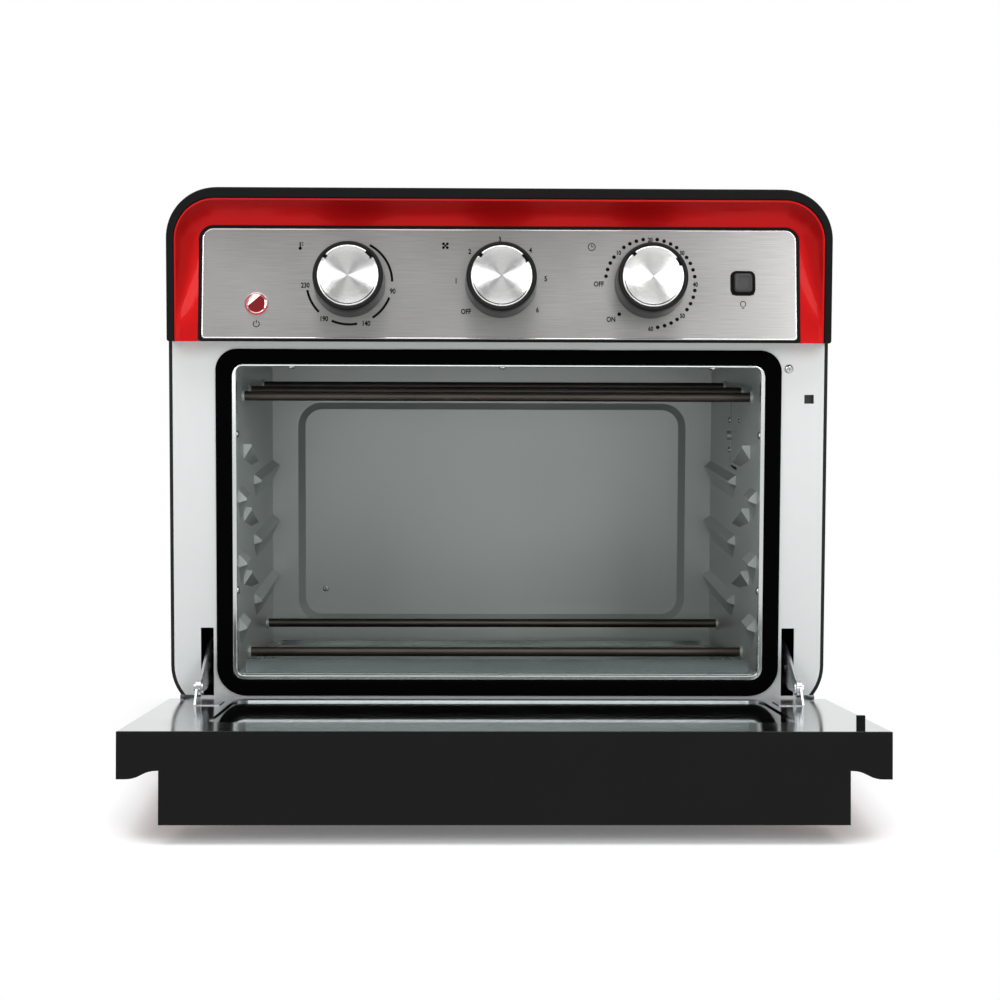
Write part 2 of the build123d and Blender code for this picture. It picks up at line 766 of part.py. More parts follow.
for name, across, radius, depth in zip(knob_names, knob_across, control_radii, control_depths):
    base = on_panel(across, knob_up)
    with BuildPart() as control:
        with BuildSketch(base.offset(-panel_sheet)):
            Circle(radius)
        extrude(amount=-depth)
        with BuildSketch(base.offset(-panel_sheet)):
            Circle(bush_radius)
        extrude(amount=panel_sheet + 2.5)
        with BuildSketch(base.offset(2.5)):
            Circle(bush_bore)
        extrude(amount=-(depth * 0.6), mode=Mode.SUBTRACT)
    finish(control, f"{name}_control")

    with BuildPart() as shaft:
        with BuildSketch(base.offset(skirt_height - 4)):
            Circle(shaft_radius)
        extrude(amount=-(skirt_height - 4 + depth * 0.6 - 4))
    finish(shaft, f"{name}_shaft")

    with BuildPart() as knob:
        crown = skirt_height + knob_lift
        with BuildSketch(spin_plane(base)):
            with BuildLine():
                Polyline(
                    (0, crown), (0, skirt_height - 4), (shaft_radius, skirt_height - 4), (shaft_radius, 5),
                    (shaft_radius + 3, 5), (shaft_radius + 3, crown - 3.5),
                    (skirt_top_radius - skirt_wall, crown - 3.5), (skirt_radius - skirt_wall, knob_lift),
                    (skirt_radius, knob_lift), (skirt_top_radius, crown), close=True,
                )
            make_face()
        revolve(axis=Axis(base.origin, base.z_dir))
    finish(knob, f"{name}_knob")

    with BuildPart() as cap:
        with BuildSketch(spin_plane(base)):
            with BuildLine():
                Line((0, crown), (cap_radius, crown))
                Line((cap_radius, crown), (cap_radius, crown + cap_height - 1))
                Line((cap_radius, crown + cap_height - 1), (cap_radius - 1, crown + cap_height))
                Line((cap_radius - 1, crown + cap_height), (0, crown + cap_height))
                Line((0, crown + cap_height), (0, crown))
            make_face()
        revolve(axis=Axis(base.origin, base.z_dir))
    finish(cap, f"{name}_cap")

power_base = on_panel(power_across, power_up)
with BuildPart() as power_lamp_holder:
    with BuildSketch(spin_plane(power_base)):
        with BuildLine():
            Polyline(
                (lens_radius - 0.6, 0.9), (lens_radius - 0.2, 1.5), (bezel_radius - 0.6, 1.2), (bezel_radius, 0),
                (lens_radius, 0), (lens_radius, -14), (lens_radius - 3, -18), (0, -18), (0, -17),
                (lens_radius - 3, -17), (lens_radius - 0.6, -13.5), close=True,
            )
        make_face()
    revolve(axis=Axis(power_base.origin, power_base.z_dir))
finish(power_lamp_holder, "power_lamp_holder")

with BuildPart() as power_lamp_lens:
    with BuildSketch(spin_plane(power_base)):
        with BuildLine():
            Polyline(
                (0, -6), (lens_radius - 0.8, -6), (lens_radius - 0.8, 1.6), (lens_radius - 1.8, 2.7),
                (lens_radius - 3.6, 3.3), (0, 3.3), close=True,
            )
        make_face()
    revolve(axis=Axis(power_base.origin, power_base.z_dir))
finish(power_lamp_lens, "power_lamp_lens")

button_base = on_panel(button_across, button_up)
button_hole = button_side + 2 * button_gap
with BuildPart() as button_frame:
    with BuildSketch(button_base):
        RectangleRounded(button_frame_side, button_frame_side, 2)
        RectangleRounded(button_hole, button_hole, 1.6, mode=Mode.SUBTRACT)
    extrude(amount=1.0)
    with BuildSketch(button_base):
        RectangleRounded(button_frame_side - 2, button_frame_side - 2, 1.6)
        RectangleRounded(button_hole, button_hole, 1.6, mode=Mode.SUBTRACT)
    extrude(amount=-10)
finish(button_frame, "button_frame")

with BuildPart() as light_button:
    with BuildSketch(button_base.offset(-8 + button_travel)):
        RectangleRounded(button_side, button_side, 1.5)
    extrude(amount=8 - button_travel + button_proud)
    fillet(light_button.faces().sort_by(Axis(button_base.origin, button_base.z_dir))[-1].edges(), radius=0.8)
finish(light_button, "light_button")

with BuildPart() as light_switch:
    with BuildSketch(button_base.offset(-10)):
        RectangleRounded(button_frame_side + 2, button_frame_side + 2, 1)
    extrude(amount=-14)
finish(light_switch, "light_switch")

# Door
def trim_edge(side):
    """S-shaped side edge of the door's outer face, from the flat face up to the side rail."""
    flat = side * (width / 2 - rail_width - trim_width)
    high = side * (width / 2 - rail_width)
    middle = (flat + high) / 2
    return Bezier(
        (flat, door_outer), (middle, door_outer), (middle, door_outer + rail_proud), (high, door_outer + rail_proud)
    )


rail_inner = width / 2 - rail_width
trim_inner = rail_inner - trim_width
proud = door_outer + rail_proud
frame_front = door_inner + door_sheet
glass_back = door_outer - glass

with BuildPart() as door_inner_panel:
    with BuildSketch(door_plane(door_inner)):
        with Locations((0, door_low)):
            Rectangle(width, door_top - top_cap - door_low, align=(Align.CENTER, Align.MIN))
        rounded(window_half, window_low, window_high, window_radius, window_radius, mode=Mode.SUBTRACT)
        with Locations((-ear_x, door_low), (ear_x, door_low)):
            Rectangle(
                ear_thickness + 2 * ear_clearance, ear_radius + ear_clearance - door_low,
                align=(Align.CENTER, Align.MIN), mode=Mode.SUBTRACT,
            )
    extrude(amount=door_sheet)
finish(door_inner_panel, "door_inner_panel")

with BuildPart() as door_inner_glass:
    with BuildSketch(door_plane(frame_front)):
        rounded(window_half + 7, bottom_rail_high + 0.3, window_high + 7, 4, 4)
    extrude(amount=glass)
finish(door_inner_glass, "door_inner_glass")

with BuildPart() as door_outer_glass:
    with BuildSketch(door_plane(glass_back)):
        with Locations((0, bottom_rail_high)):
            Rectangle(2 * trim_inner, door_top - top_cap - bottom_rail_high, align=(Align.CENTER, Align.MIN))
    extrude(amount=glass)
finish(door_outer_glass, "door_outer_glass")

with BuildPart() as door_rails:
    for side in (-1, 1):
        with BuildSketch(door_section(door_low)):
            with Locations((side * (rail_inner + rail_width / 2), frame_front)):
                Rectangle(rail_width, proud - frame_front, align=(Align.CENTER, Align.MIN))
        extrude(amount=door_low - door_top + top_cap)
        with BuildSketch(door_section(bottom_rail_high)):
            with Locations((side * (rail_inner + 0.1), frame_front)):
                Rectangle(
                    trim_width - 2, glass_back - frame_front,
                    align=(Align.MAX if side > 0 else Align.MIN, Align.MIN),
                )
        extrude(amount=bottom_rail_high - door_top + top_cap)
finish(door_rails, "door_rails")

with BuildPart() as door_trims:
    for side in (-1, 1):
        with BuildSketch(door_section(door_low)):
            with BuildLine():
                edge = trim_edge(side)
                Polyline(edge @ 1, (side * rail_inner, glass_back), (side * trim_inner, glass_back), edge @ 0)
            make_face()
        extrude(amount=door_low - door_top + top_cap)
finish(door_trims, "door_trims")

with BuildPart() as door_bottom_rail:
    with BuildSketch(door_section(door_low)):
        with Locations((0, frame_front)):
            Rectangle(2 * rail_inner, glass_back - frame_front, align=(Align.CENTER, Align.MIN))
        with Locations((0, glass_back)):
            Rectangle(2 * trim_inner, glass, align=(Align.CENTER, Align.MIN))
    extrude(amount=door_low - bottom_rail_high)
    for side in (-1, 1):
        notch = ear_thickness / 2 + ear_clearance
        with BuildSketch(door_side(side * ear_x - notch)):
            with Locations((door_low, ear_radius + ear_clearance)):
                Rectangle(ear_radius + ear_clearance - door_low, 40, align=(Align.MIN, Align.MAX))
        extrude(amount=2 * notch, mode=Mode.SUBTRACT)
        with BuildSketch(door_side(side * ear_x - pin_half)):
            Circle(pin_radius)
        extrude(amount=2 * pin_half, mode=Mode.SUBTRACT)
finish(door_bottom_rail, "door_bottom_rail")

with BuildPart() as door_pins:
    for side in (-1, 1):
        with BuildSketch(door_side(side * ear_x - pin_half)):
            Circle(pin_radius)
        extrude(amount=2 * pin_half)
finish(door_pins, "door_pins")

with BuildPart() as door_handle:
    with BuildSketch(door_section(door_top - top_cap)):
        with BuildLine():
            left = trim_edge(-1)
            right = trim_edge(1)
            Line(left @ 0, right @ 0)
            Polyline(
                right @ 1, (width / 2, proud), (width / 2, frame_front - door_sheet),
                (-width / 2, frame_front - door_sheet), (-width / 2, proud), left @ 1,
            )
        make_face()
    extrude(amount=-top_cap)
    reach = door_outer + handle_out
    with BuildSketch(door_side(-handle_half)):
        with BuildLine():
            FilletPolyline(
                (door_top, door_outer - 1), (door_top, reach), (door_top - handle_drop, reach),
                (door_top - handle_drop, reach - handle_wall), (door_top - handle_wall, reach - handle_wall),
                (door_top - handle_wall, door_outer - 1), radius=[0.6, 1.5, 1.5, 2], close=False,
            )
            Line((door_top - handle_wall, door_outer - 1), (door_top, door_outer - 1))
        make_face()
    extrude(amount=2 * handle_half)
finish(door_handle, "door_handle")

with BuildPart() as door_striker:
    with BuildSketch(door_plane(door_inner)):
        with Locations((striker_x, striker_up)):
            RectangleRounded(striker_side, striker_side, 0.8)
    extrude(amount=-striker_height)
finish(door_striker, "door_striker")

# Hinges: ears on the flange carry the door's pins, and an arm on each side runs into its slot
axis_y, axis_z = door_point(0, 0)
pivot_out = door_inner - pivot_in
pivot_y, pivot_z = door_point(pivot_up, pivot_out)

with BuildPart() as hinge_ears:
    for side in (-1, 1):
        with BuildSketch(side_plane(side * ear_x - ear_thickness / 2)):
            with Locations((axis_y, axis_z)):
                Circle(ear_radius)
            with BuildLine():
                Polyline(
                    (axis_y, axis_z + ear_radius), (flange_y, axis_z + ear_radius),
                    (flange_y, axis_z + 0.6), (axis_y, axis_z - ear_radius), close=True,
                )
            make_face()
            with Locations((axis_y, axis_z)):
                Circle(pin_radius + running_gap, mode=Mode.SUBTRACT)
        extrude(amount=ear_thickness)
        with BuildSketch(behind(0)):
            with Locations((side * ear_x, axis_z + 5)):
                Rectangle(9, 8)
        extrude(amount=1)
finish(hinge_ears, "hinge_ears")


def plate_outline():
    """Outline of a hinge plate, in the door's side plane: up the door, and outwards."""
    with BuildLine() as loop:
        Polyline(
            (pivot_up - plate_foot_half, door_inner), (pivot_up + plate_foot_half, door_inner),
            (pivot_up + 5, pivot_out), (pivot_up - 5, pivot_out), close=True,
        )
    make_face(loop.edges())
    with Locations((pivot_up, pivot_out)):
        Circle(5)


with BuildPart() as hinge_plates:
    for side in (-1, 1):
        start = plate_x if side > 0 else -plate_x - plate_thickness
        with BuildSketch(door_side(start)):
            plate_outline()
            with Locations((pivot_up, pivot_out)):
                Circle(pivot_radius, mode=Mode.SUBTRACT)
        extrude(amount=plate_thickness)
        with BuildSketch(door_plane(door_inner)):
            with Locations((side * (plate_x + plate_thickness), pivot_up)):
                Rectangle(
                    plate_foot_inner, 2 * plate_foot_half, align=(Align.MAX if side > 0 else Align.MIN, Align.CENTER)
                )
        extrude(amount=-plate_foot)
finish(hinge_plates, "hinge_plates")

with BuildPart() as hinge_rivets:
    for side in (-1, 1):
        low = arm_x if side > 0 else -(plate_x + plate_thickness)
        high = plate_x + plate_thickness if side > 0 else -arm_x
        with BuildSketch(door_side(low - 1)):
            with Locations((pivot_up, pivot_out)):
                Circle(pivot_radius)
        extrude(amount=high - low + 2)
        for x in (low - 1.2, high + 0.2):
            with BuildSketch(door_side(x)):
                with Locations((pivot_up, pivot_out)):
                    Circle(pivot_radius + 1.4)
            extrude(amount=1)
finish(hinge_rivets, "hinge_rivets")

# Arm: a wide sickle from its pivot on the door, through the slot, to its tail over the roller
arm_angle = radians(arm_rise)


def arm_spot(spot):
    """Point on the arm, from its distance along the chord and its height over the chord."""
    along, rise = spot
    return (
        pivot_y + along * cos(arm_angle) - rise * sin(arm_angle),
        pivot_z + along * sin(arm_angle) + rise * cos(arm_angle),
    )


def hinge_arm(side):
    """One hinge arm, on the left (-1) or on the right (1)."""
    start = arm_x if side > 0 else -arm_x - arm_thickness
    with BuildPart() as arm:
        with BuildSketch(side_plane(start)):
            with BuildLine():
                back = Spline(*[arm_spot(spot) for spot in arm_back])
                belly = Spline(*[arm_spot(spot) for spot in arm_belly])
                Line(back @ 1, belly @ 0)
                Line(belly @ 1, back @ 0)
            make_face()
            with Locations((pivot_y, pivot_z)):
                Circle(5)
                Circle(pivot_radius + running_gap, mode=Mode.SUBTRACT)
            with Locations(*[arm_spot(spot) for spot in arm_holes]):
                Circle(arm_hole_radius, mode=Mode.SUBTRACT)
        extrude(amount=arm_thickness)
    return arm


finish(hinge_arm(-1), "hinge_arm_left")
finish(hinge_arm(1), "hinge_arm_right")

with BuildPart() as hinge_rollers:
    for side in (-1, 1):
        inner = min(side * hinge_slot[0], side * hinge_slot[1])
        with BuildSketch(side_plane(inner)):
            with Locations((flange_y + roller_depth, roller_z)):
                Circle(roller_radius)
        extrude(amount=hinge_slot[1] - hinge_slot[0])
        bracket = side * hinge_slot[0]
        with BuildSketch(side_plane(bracket)):
            with Locations((flange_y + sheet, roller_z - 9)):
                Rectangle(roller_depth + 6, 18, align=(Align.MIN, Align.MIN))
        extrude(amount=-side * 0.9)
finish(hinge_rollers, "hinge_rollers")

with BuildPart() as door_switch:
    with BuildSketch(behind(sheet)):
        with Locations((striker_x, hinge_z + striker_up)):
            Rectangle(13, 26)
    extrude(amount=-14)
    with BuildSketch(behind(sheet)):
        with Locations((striker_x, hinge_z + striker_up)):
            Rectangle(slot_width, slot_height)
    extrude(amount=-4, mode=Mode.SUBTRACT)
finish(door_switch, "door_switch")
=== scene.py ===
"""Finishes, fittings, dial print and studio for a countertop oven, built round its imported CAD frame.

The frame gives the places: the panel, the dials, the lamp, the key and the mouth are read from the CAD
nodes, and what is made here rides on the body that carries it.
"""

import logging
import math
from dataclasses import dataclass, field
from enum import Enum
from typing import Any, Sequence, Union

import bmesh
import bpy
from mathutils import Matrix, Vector


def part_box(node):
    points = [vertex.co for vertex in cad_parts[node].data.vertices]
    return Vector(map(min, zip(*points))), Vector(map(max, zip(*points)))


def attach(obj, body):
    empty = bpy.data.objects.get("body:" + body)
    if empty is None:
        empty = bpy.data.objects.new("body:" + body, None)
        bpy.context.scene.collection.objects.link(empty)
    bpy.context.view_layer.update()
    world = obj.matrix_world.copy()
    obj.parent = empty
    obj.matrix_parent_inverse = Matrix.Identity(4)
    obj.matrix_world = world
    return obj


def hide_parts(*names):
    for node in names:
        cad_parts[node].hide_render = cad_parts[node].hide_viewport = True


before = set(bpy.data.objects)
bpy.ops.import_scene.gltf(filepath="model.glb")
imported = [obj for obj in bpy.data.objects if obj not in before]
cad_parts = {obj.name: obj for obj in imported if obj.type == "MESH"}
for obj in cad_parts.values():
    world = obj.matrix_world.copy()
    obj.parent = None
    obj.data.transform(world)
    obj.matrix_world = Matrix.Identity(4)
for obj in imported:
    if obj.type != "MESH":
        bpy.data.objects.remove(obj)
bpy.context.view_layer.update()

MM = 0.001
LOG = logging.getLogger("oven")
Number = Union[int, float]
Colour = tuple[float, float, float]
Point = tuple[float, float]
Triple = tuple[float, float, float]
Form = bmesh.types.BMesh
Material = bpy.types.Material

WHITE = (1.0, 1.0, 1.0)
GRAIN_STRETCH = 60.0
GRAIN_EDGES = (0.35, 0.65)
QUARTER_TURN = 0.25

UP = Vector((0.0, 0.0, 1.0))
DOWN = Vector((0.0, 0.0, -1.0))
RIGHT = Vector((1.0, 0.0, 0.0))
LEFT = Vector((-1.0, 0.0, 0.0))
FORWARD = Vector((0.0, -1.0, 0.0))


class Body(Enum):
    """The bodies that the pieces made here ride on."""

    OVEN = "oven"
    LIGHT_KEY = "light_key"
    THERMOSTAT = "thermostat_dial"
    FUNCTION = "function_dial"
    TIMER = "timer_dial"


class Grain(Enum):
    """The way the brushing of a metal runs."""

    ALONG_X = (1.0, GRAIN_STRETCH, GRAIN_STRETCH)
    ALONG_Y = (GRAIN_STRETCH, 1.0, GRAIN_STRETCH)
    NONE = (1.0, 1.0, 1.0)


# Shader maths


class Signal:
    """A node's output socket that can stand in a Python expression."""

    def __init__(self, tree: bpy.types.NodeTree, socket: bpy.types.NodeSocket) -> None:
        """Keeps a socket and the tree it belongs to.

        Args:
            tree: The node tree that new nodes are added to.
            socket: The output socket to wrap.
        """
        self.tree = tree
        self.socket = socket

    def _math(self, operation: str, *values: Any) -> "Signal":
        """Adds one Math node.

        Args:
            operation: The Math node's operation.
            values: Numbers or signals for its inputs, in order.

        Returns:
            The node's result.
        """
        node = self.tree.nodes.new("ShaderNodeMath")
        node.operation = operation
        for slot, value in zip(node.inputs, values):
            plug(self.tree, slot, value)
        return Signal(self.tree, node.outputs[0])

    def __add__(self, other: Any) -> "Signal":
        """Returns this plus another value."""
        return self._math("ADD", self, other)

    __radd__ = __add__

    def __sub__(self, other: Any) -> "Signal":
        """Returns this less another value."""
        return self._math("SUBTRACT", self, other)

    def __rsub__(self, other: Any) -> "Signal":
        """Returns another value less this."""
        return self._math("SUBTRACT", other, self)

    def __mul__(self, other: Any) -> "Signal":
        """Returns this times another value."""
        return self._math("MULTIPLY", self, other)

    __rmul__ = __mul__

    def step(self, low: Number, high: Number) -> "Signal":
        """Returns a smooth ramp from 0 at low to 1 at high.

        Args:
            low: The value where the ramp leaves 0.
            high: The value where it reaches 1.

        Returns:
            The ramp.
        """
        node = self.tree.nodes.new("ShaderNodeMapRange")
        node.interpolation_type = "SMOOTHSTEP"
        for slot, value in zip(node.inputs, (self, low, high, 0.0, 1.0)):
            plug(self.tree, slot, value)
        return Signal(self.tree, node.outputs[0])


def plug(tree: bpy.types.NodeTree, slot: bpy.types.NodeSocket, value: Any) -> None:
    """Sets an input socket to a value, or links a signal to it.

    Args:
        tree: The tree that holds the socket.
        slot: The input socket.
        value: A number, a colour, a vector or a Signal.
    """
    if isinstance(value, Signal):
        tree.links.new(value.socket, slot)
    elif slot.type == "RGBA" and len(value) == 3:
        slot.default_value = (*value, 1.0)
    else:
        slot.default_value = value


class Graph:
    """A node tree that is written as expressions."""

    def __init__(self, tree: bpy.types.NodeTree) -> None:
        """Empties a tree.

        Args:
            tree: The tree of a material or of the world.
        """
        self.tree = tree
        self.tree.nodes.clear()

    def node(self, kind: str, settings: dict[str, Any], sockets: dict[Any, Any]) -> bpy.types.Node:
        """Adds a node of any type.

        Args:
            kind: The node's type, without its ShaderNode prefix.
            settings: Its properties, which are set before its sockets.
            sockets: Values or signals by the input's name or index.

        Returns:
            The new node.
        """
        node = self.tree.nodes.new("ShaderNode" + kind)
        for key, value in settings.items():
            setattr(node, key, value)
        for key, value in sockets.items():
            plug(self.tree, node.inputs[key], value)
        return node

    def out(self, node: bpy.types.Node, output: Any = 0) -> Signal:
        """Returns one output of a node as a signal."""
        return Signal(self.tree, node.outputs[output])

    def place(self, scale: Sequence[Number] = (1.0, 1.0, 1.0)) -> Signal:
        """Returns the object's own coordinates in metres, scaled along each axis.

        Args:
            scale: The factor along each axis.

        Returns:
            The coordinates, as a vector.
        """
        coordinates = self.out(self.node("TexCoord", {}, {}), "Object")
        mapping = self.node("Mapping", {}, {"Vector": coordinates, "Scale": tuple(scale)})
        return self.out(mapping)

    def noise(self, size: Number, detail: Number, stretch: Sequence[Number] = (1, 1, 1)) -> Signal:
        """Adds a noise whose blotches are about one size across.

        Args:
            size: The blotch in millimetres.
            detail: The noise's octaves.
            stretch: How much finer it is along each axis.

        Returns:
            The noise's value, about 0.5 on average.
        """
        scale = tuple(axis / (size * MM) for axis in stretch)
        texture = self.node("TexNoise", {}, {"Vector": self.place(scale), "Scale": 1.0, "Detail": detail})
        return self.out(texture, 0)

    def axis(self, letter: str) -> Signal:
        """Returns one of the object's coordinates in metres."""
        parts = self.node("SeparateXYZ", {}, {0: self.place()})
        return self.out(parts, letter)

    def mix(self, factor: Any, first: Any, second: Any) -> Signal:
        """Returns a colour between two colours."""
        node = self.node("Mix", {"data_type": "RGBA"}, {0: factor, 6: first, 7: second})
        return self.out(node, 2)

    def bump(self, height: Signal, depth: Number) -> Signal:
        """Returns the normal of a surface that a height in 0 to 1 raises by a depth in millimetres."""
        node = self.node("Bump", {}, {"Strength": 1.0, "Distance": depth * MM, "Height": height})
        return self.out(node)

    def seen(self) -> Signal:
        """Returns 1 on rays from the camera, a mirror or through glass, and 0 on the light's own rays.

        Returns:
            The sum of the three kinds of ray.
        """
        path = self.node("LightPath", {}, {})
        total = self.out(path, "Is Camera Ray") + self.out(path, "Is Glossy Ray")
        return total + self.out(path, "Is Transmission Ray")


class Skin(Graph):
    """The nodes of one material, ending in a Principled shader."""

    def __init__(self, name: str) -> None:
        """Starts a material with an empty tree.

        Args:
            name: The material's name.
        """
        self.material = bpy.data.materials.new(name)
        self.material.use_nodes = True
        super().__init__(self.material.node_tree)
        self.output = self.tree.nodes.new("ShaderNodeOutputMaterial")
        self.shader = self.tree.nodes.new("ShaderNodeBsdfPrincipled")
        self.tree.links.new(self.shader.outputs[0], self.output.inputs[0])

    def dress(self, **inputs: Any) -> Material:
        """Sets the shader's inputs, by their names with underscores, and returns the material.

        Args:
            inputs: A value or a signal for each input.

        Returns:
            The finished material.
        """
        for key, value in inputs.items():
            plug(self.tree, self.shader.inputs[key.replace("_", " ")], value)
        return self.material


# Finishes


@dataclass(frozen=True)
class Paint:
    """A pigmented surface: powder coat, moulded plastic or rubber."""

    name: str
    colour: Colour
    rough: float
    peel: float
    peel_size: float
    sheen: float = 0.5
    cloud_size: float = 38.0
    shade: float = 0.8
    gloss_swing: float = 0.08

    def build(self) -> Material:
        """Makes the material, with a fine skin and slightly uneven gloss.

        Returns:
            The material.
        """
        graph = Skin(self.name)
        skin = graph.noise(self.peel_size, 3.0)
        cloud = graph.noise(self.cloud_size, 2.0)
        darker = tuple(channel * self.shade for channel in self.colour)
        return graph.dress(
            Base_Color=graph.mix(cloud, darker, self.colour),
            Roughness=skin * self.gloss_swing + (self.rough - self.gloss_swing / 2),
            Specular_IOR_Level=self.sheen,
            Normal=graph.bump(skin, self.peel),
        )


@dataclass(frozen=True)
class Sheet:
    """A bare metal sheet: mill-finished, plated or brushed."""

    name: str
    colour: Colour
    rough: float
    grain: Grain = Grain.NONE
    streak: float = 0.0
    streak_size: float = 0.5
    cloud: float = 0.05
    cloud_size: float = 45.0
    dimple: float = 0.0
    metal: float = 1.0
    smear: float = 0.0
    dimple_size: float = 14.0
    relief: float = 0.12
    gloss_swing: float = 0.12

    def build(self) -> Material:
        """Makes the material, with its grain, its cloudy gloss and a slight dimpling.

        Returns:
            The material.
        """
        graph = Skin(self.name)
        cloud = graph.noise(self.cloud_size, 3.0)
        grain = graph.noise(self.streak_size * GRAIN_STRETCH, 4.0, self.grain.value)
        darker = tuple(channel * (1.0 - self.cloud * 2.0) for channel in self.colour)
        worn = tuple(channel * (1.0 - self.streak * 1.2) for channel in self.colour)
        base = graph.mix(cloud, darker, self.colour)
        base = graph.mix(grain.step(*GRAIN_EDGES) * self.streak * 2.0, base, worn)
        height = graph.noise(self.dimple_size, 2.0) * self.dimple + grain * self.streak * 0.05
        return graph.dress(
            Base_Color=base,
            Metallic=self.metal,
            Roughness=self.rough + (cloud - 0.5) * self.gloss_swing + (grain - 0.5) * self.streak * 0.5,
            Anisotropic=self.smear,
            Anisotropic_Rotation=QUARTER_TURN if self.smear else 0.0,
            Normal=graph.bump(height, self.relief),
        )


@dataclass(frozen=True)
class Lacquer:
    """A translucent coloured lacquer over bright metal flake."""

    name: str
    colour: Colour
    shade: Colour
    rough: float
    metal: float
    coat: float
    sheen: float = 0.5
    flake_size: float = 0.35
    gloss_swing: float = 0.1
    coat_rough: float = 0.06
    wave_size: float = 9.0
    wave: float = 0.01

    def build(self) -> Material:
        """Makes the material, with a fine flake under a clear coat.

        Returns:
            The material.
        """
        graph = Skin(self.name)
        flake = graph.noise(self.flake_size, 1.0)
        return graph.dress(
            Base_Color=graph.mix(flake, self.shade, self.colour),
            Metallic=self.metal,
            Roughness=self.rough + (flake - 0.5) * self.gloss_swing,
            Specular_IOR_Level=self.sheen,
            Coat_Weight=self.coat,
            Coat_Roughness=self.coat_rough,
            Normal=graph.bump(graph.noise(self.wave_size, 1.0), self.wave),
        )


@dataclass(frozen=True)
class Glass:
    """A clear or tinted pane."""

    name: str
    tint: Colour
    through: float
    rough: float = 0.015
    haze: float = 0.01
    haze_size: float = 60.0

    def build(self) -> Material:
        """Makes the material, with a faint unevenness of gloss.

        Returns:
            The material.
        """
        graph = Skin(self.name)
        return graph.dress(
            Base_Color=self.tint,
            Roughness=graph.noise(self.haze_size, 2.0) * self.haze + self.rough,
            Transmission_Weight=self.through,
            IOR=1.5,
        )


@dataclass(frozen=True)
class Spun:
    """Turned metal, whose fine rings about its own Z axis fan the light out from the middle."""

    name: str
    colour: Colour
    rough: float
    smear: float
    rings_per_metre: float = 2600.0
    shade: float = 0.93
    gloss_swing: float = 0.08
    groove: float = 0.006

    def build(self) -> Material:
        """Makes the material, with turning rings about the object's Z axis.

        Returns:
            The material.
        """
        graph = Skin(self.name)
        reach = graph.node("VectorMath", {"operation": "LENGTH"}, {0: graph.place()})
        distance = graph.out(reach, "Value") * self.rings_per_metre
        rings = graph.node("TexNoise", {"noise_dimensions": "1D"}, {"W": distance, "Detail": 3.0})
        ring = graph.out(rings, 0)
        worn = tuple(channel * self.shade for channel in self.colour)
        return graph.dress(
            Base_Color=graph.mix(ring.step(*GRAIN_EDGES), worn, self.colour),
            Metallic=1.0,
            Roughness=ring * self.gloss_swing + self.rough,
            Anisotropic=self.smear,
            Anisotropic_Rotation=QUARTER_TURN,
            Normal=graph.bump(ring, self.groove),
        )


FINISHES: dict[str, Any] = {finish.name: finish for finish in (
    Paint("black_casing", (0.0105, 0.0098, 0.0098), 0.5, 0.03, 0.6, 0.2),
    Paint("black_plastic", (0.0062, 0.0062, 0.0064), 0.55, 0.012, 0.3, 0.08),
    Paint("knob_plastic", (0.009, 0.009, 0.009), 0.36, 0.006, 0.3, 0.14),
    Paint("key_plastic", (0.02, 0.02, 0.02), 0.33, 0.006, 0.3),
    Paint("control_plastic", (0.05, 0.05, 0.055), 0.55, 0.02, 0.6),
    # seal_rubber is far blacker than any rubber: the ring round the mouth shows solid black, a black seal
    # deepened with painted shade.
    Paint("seal_rubber", (0.0006, 0.0006, 0.0006), 0.9, 0.02, 0.5, 0.03),
    Paint("print_ink", (0.003, 0.003, 0.003), 0.8, 0.002, 0.2, 0.1),
    Sheet("galvanised", (0.60, 0.64, 0.64), 0.34, cloud=0.03, dimple=0.3),
    Sheet("flange_steel", (0.665, 0.68, 0.675), 0.48, cloud=0.015, dimple=0.12, metal=0.4),
    Sheet(
        "cavity_steel", (0.50, 0.54, 0.525), 0.36, cloud=0.03, cloud_size=90.0, dimple=0.2, metal=0.45
    ),
    Sheet("rim_steel", (0.62, 0.65, 0.64), 0.13, cloud=0.03, dimple=0.05),
    # tray_steel is far darker than any bare steel: the darkness is painted shade that stands in for the dim
    # surroundings its mirror-like front reflects.
    Sheet("tray_steel", (0.13, 0.155, 0.15), 0.12, cloud=0.03, dimple=0.03),
    Sheet("door_steel", (0.40, 0.44, 0.44), 0.12, cloud=0.03, cloud_size=80.0, dimple=0.05),
    Sheet("brushed_steel", (0.50, 0.495, 0.49), 0.33, Grain.ALONG_Y, 0.27, 0.36, smear=0.8),
    Sheet("heater_steel", (0.14, 0.12, 0.105), 0.45, Grain.ALONG_X, 0.2, 0.8, 0.25, 30.0),
    Sheet("bright_steel", (0.60, 0.61, 0.62), 0.24, cloud=0.08, cloud_size=12.0),
    # slot_steel is a near-black steel, far darker than bare metal: what takes it shows the dark of a shaded
    # slot, a painted shade.
    Sheet("slot_steel", (0.012, 0.012, 0.012), 0.6, cloud=0.08, cloud_size=12.0),
    Sheet("motor_steel", (0.5, 0.5, 0.5), 0.35, cloud=0.08),
    Sheet("chrome_trim", (0.90, 0.86, 0.86), 0.12, cloud=0.02),
    # Pale metal for the lamp jewel's sloping facet: a painted highlight, not the jewel's own red glass.
    Sheet("lens_glint", (0.95, 0.84, 0.80), 0.25, cloud=0.02),
    Spun("spun_aluminium", (0.94, 0.94, 0.935), 0.22, 0.9),
    Lacquer("red_lacquer", (0.52, 0.005, 0.006), (0.46, 0.004, 0.004), 0.42, 0.6, 0.1, 0.15),
    Lacquer("red_lens", (0.30, 0.0, 0.004), (0.09, 0.0, 0.001), 0.2, 0.2, 0.9),
    Lacquer("lens_rim", (0.75, 0.03, 0.05), (0.55, 0.01, 0.02), 0.2, 0.6, 1.0),
    Glass("clear_glass", (0.93, 0.97, 0.96), 1.0),
    Glass("dark_glass", (0.012, 0.012, 0.013), 0.35),
)}


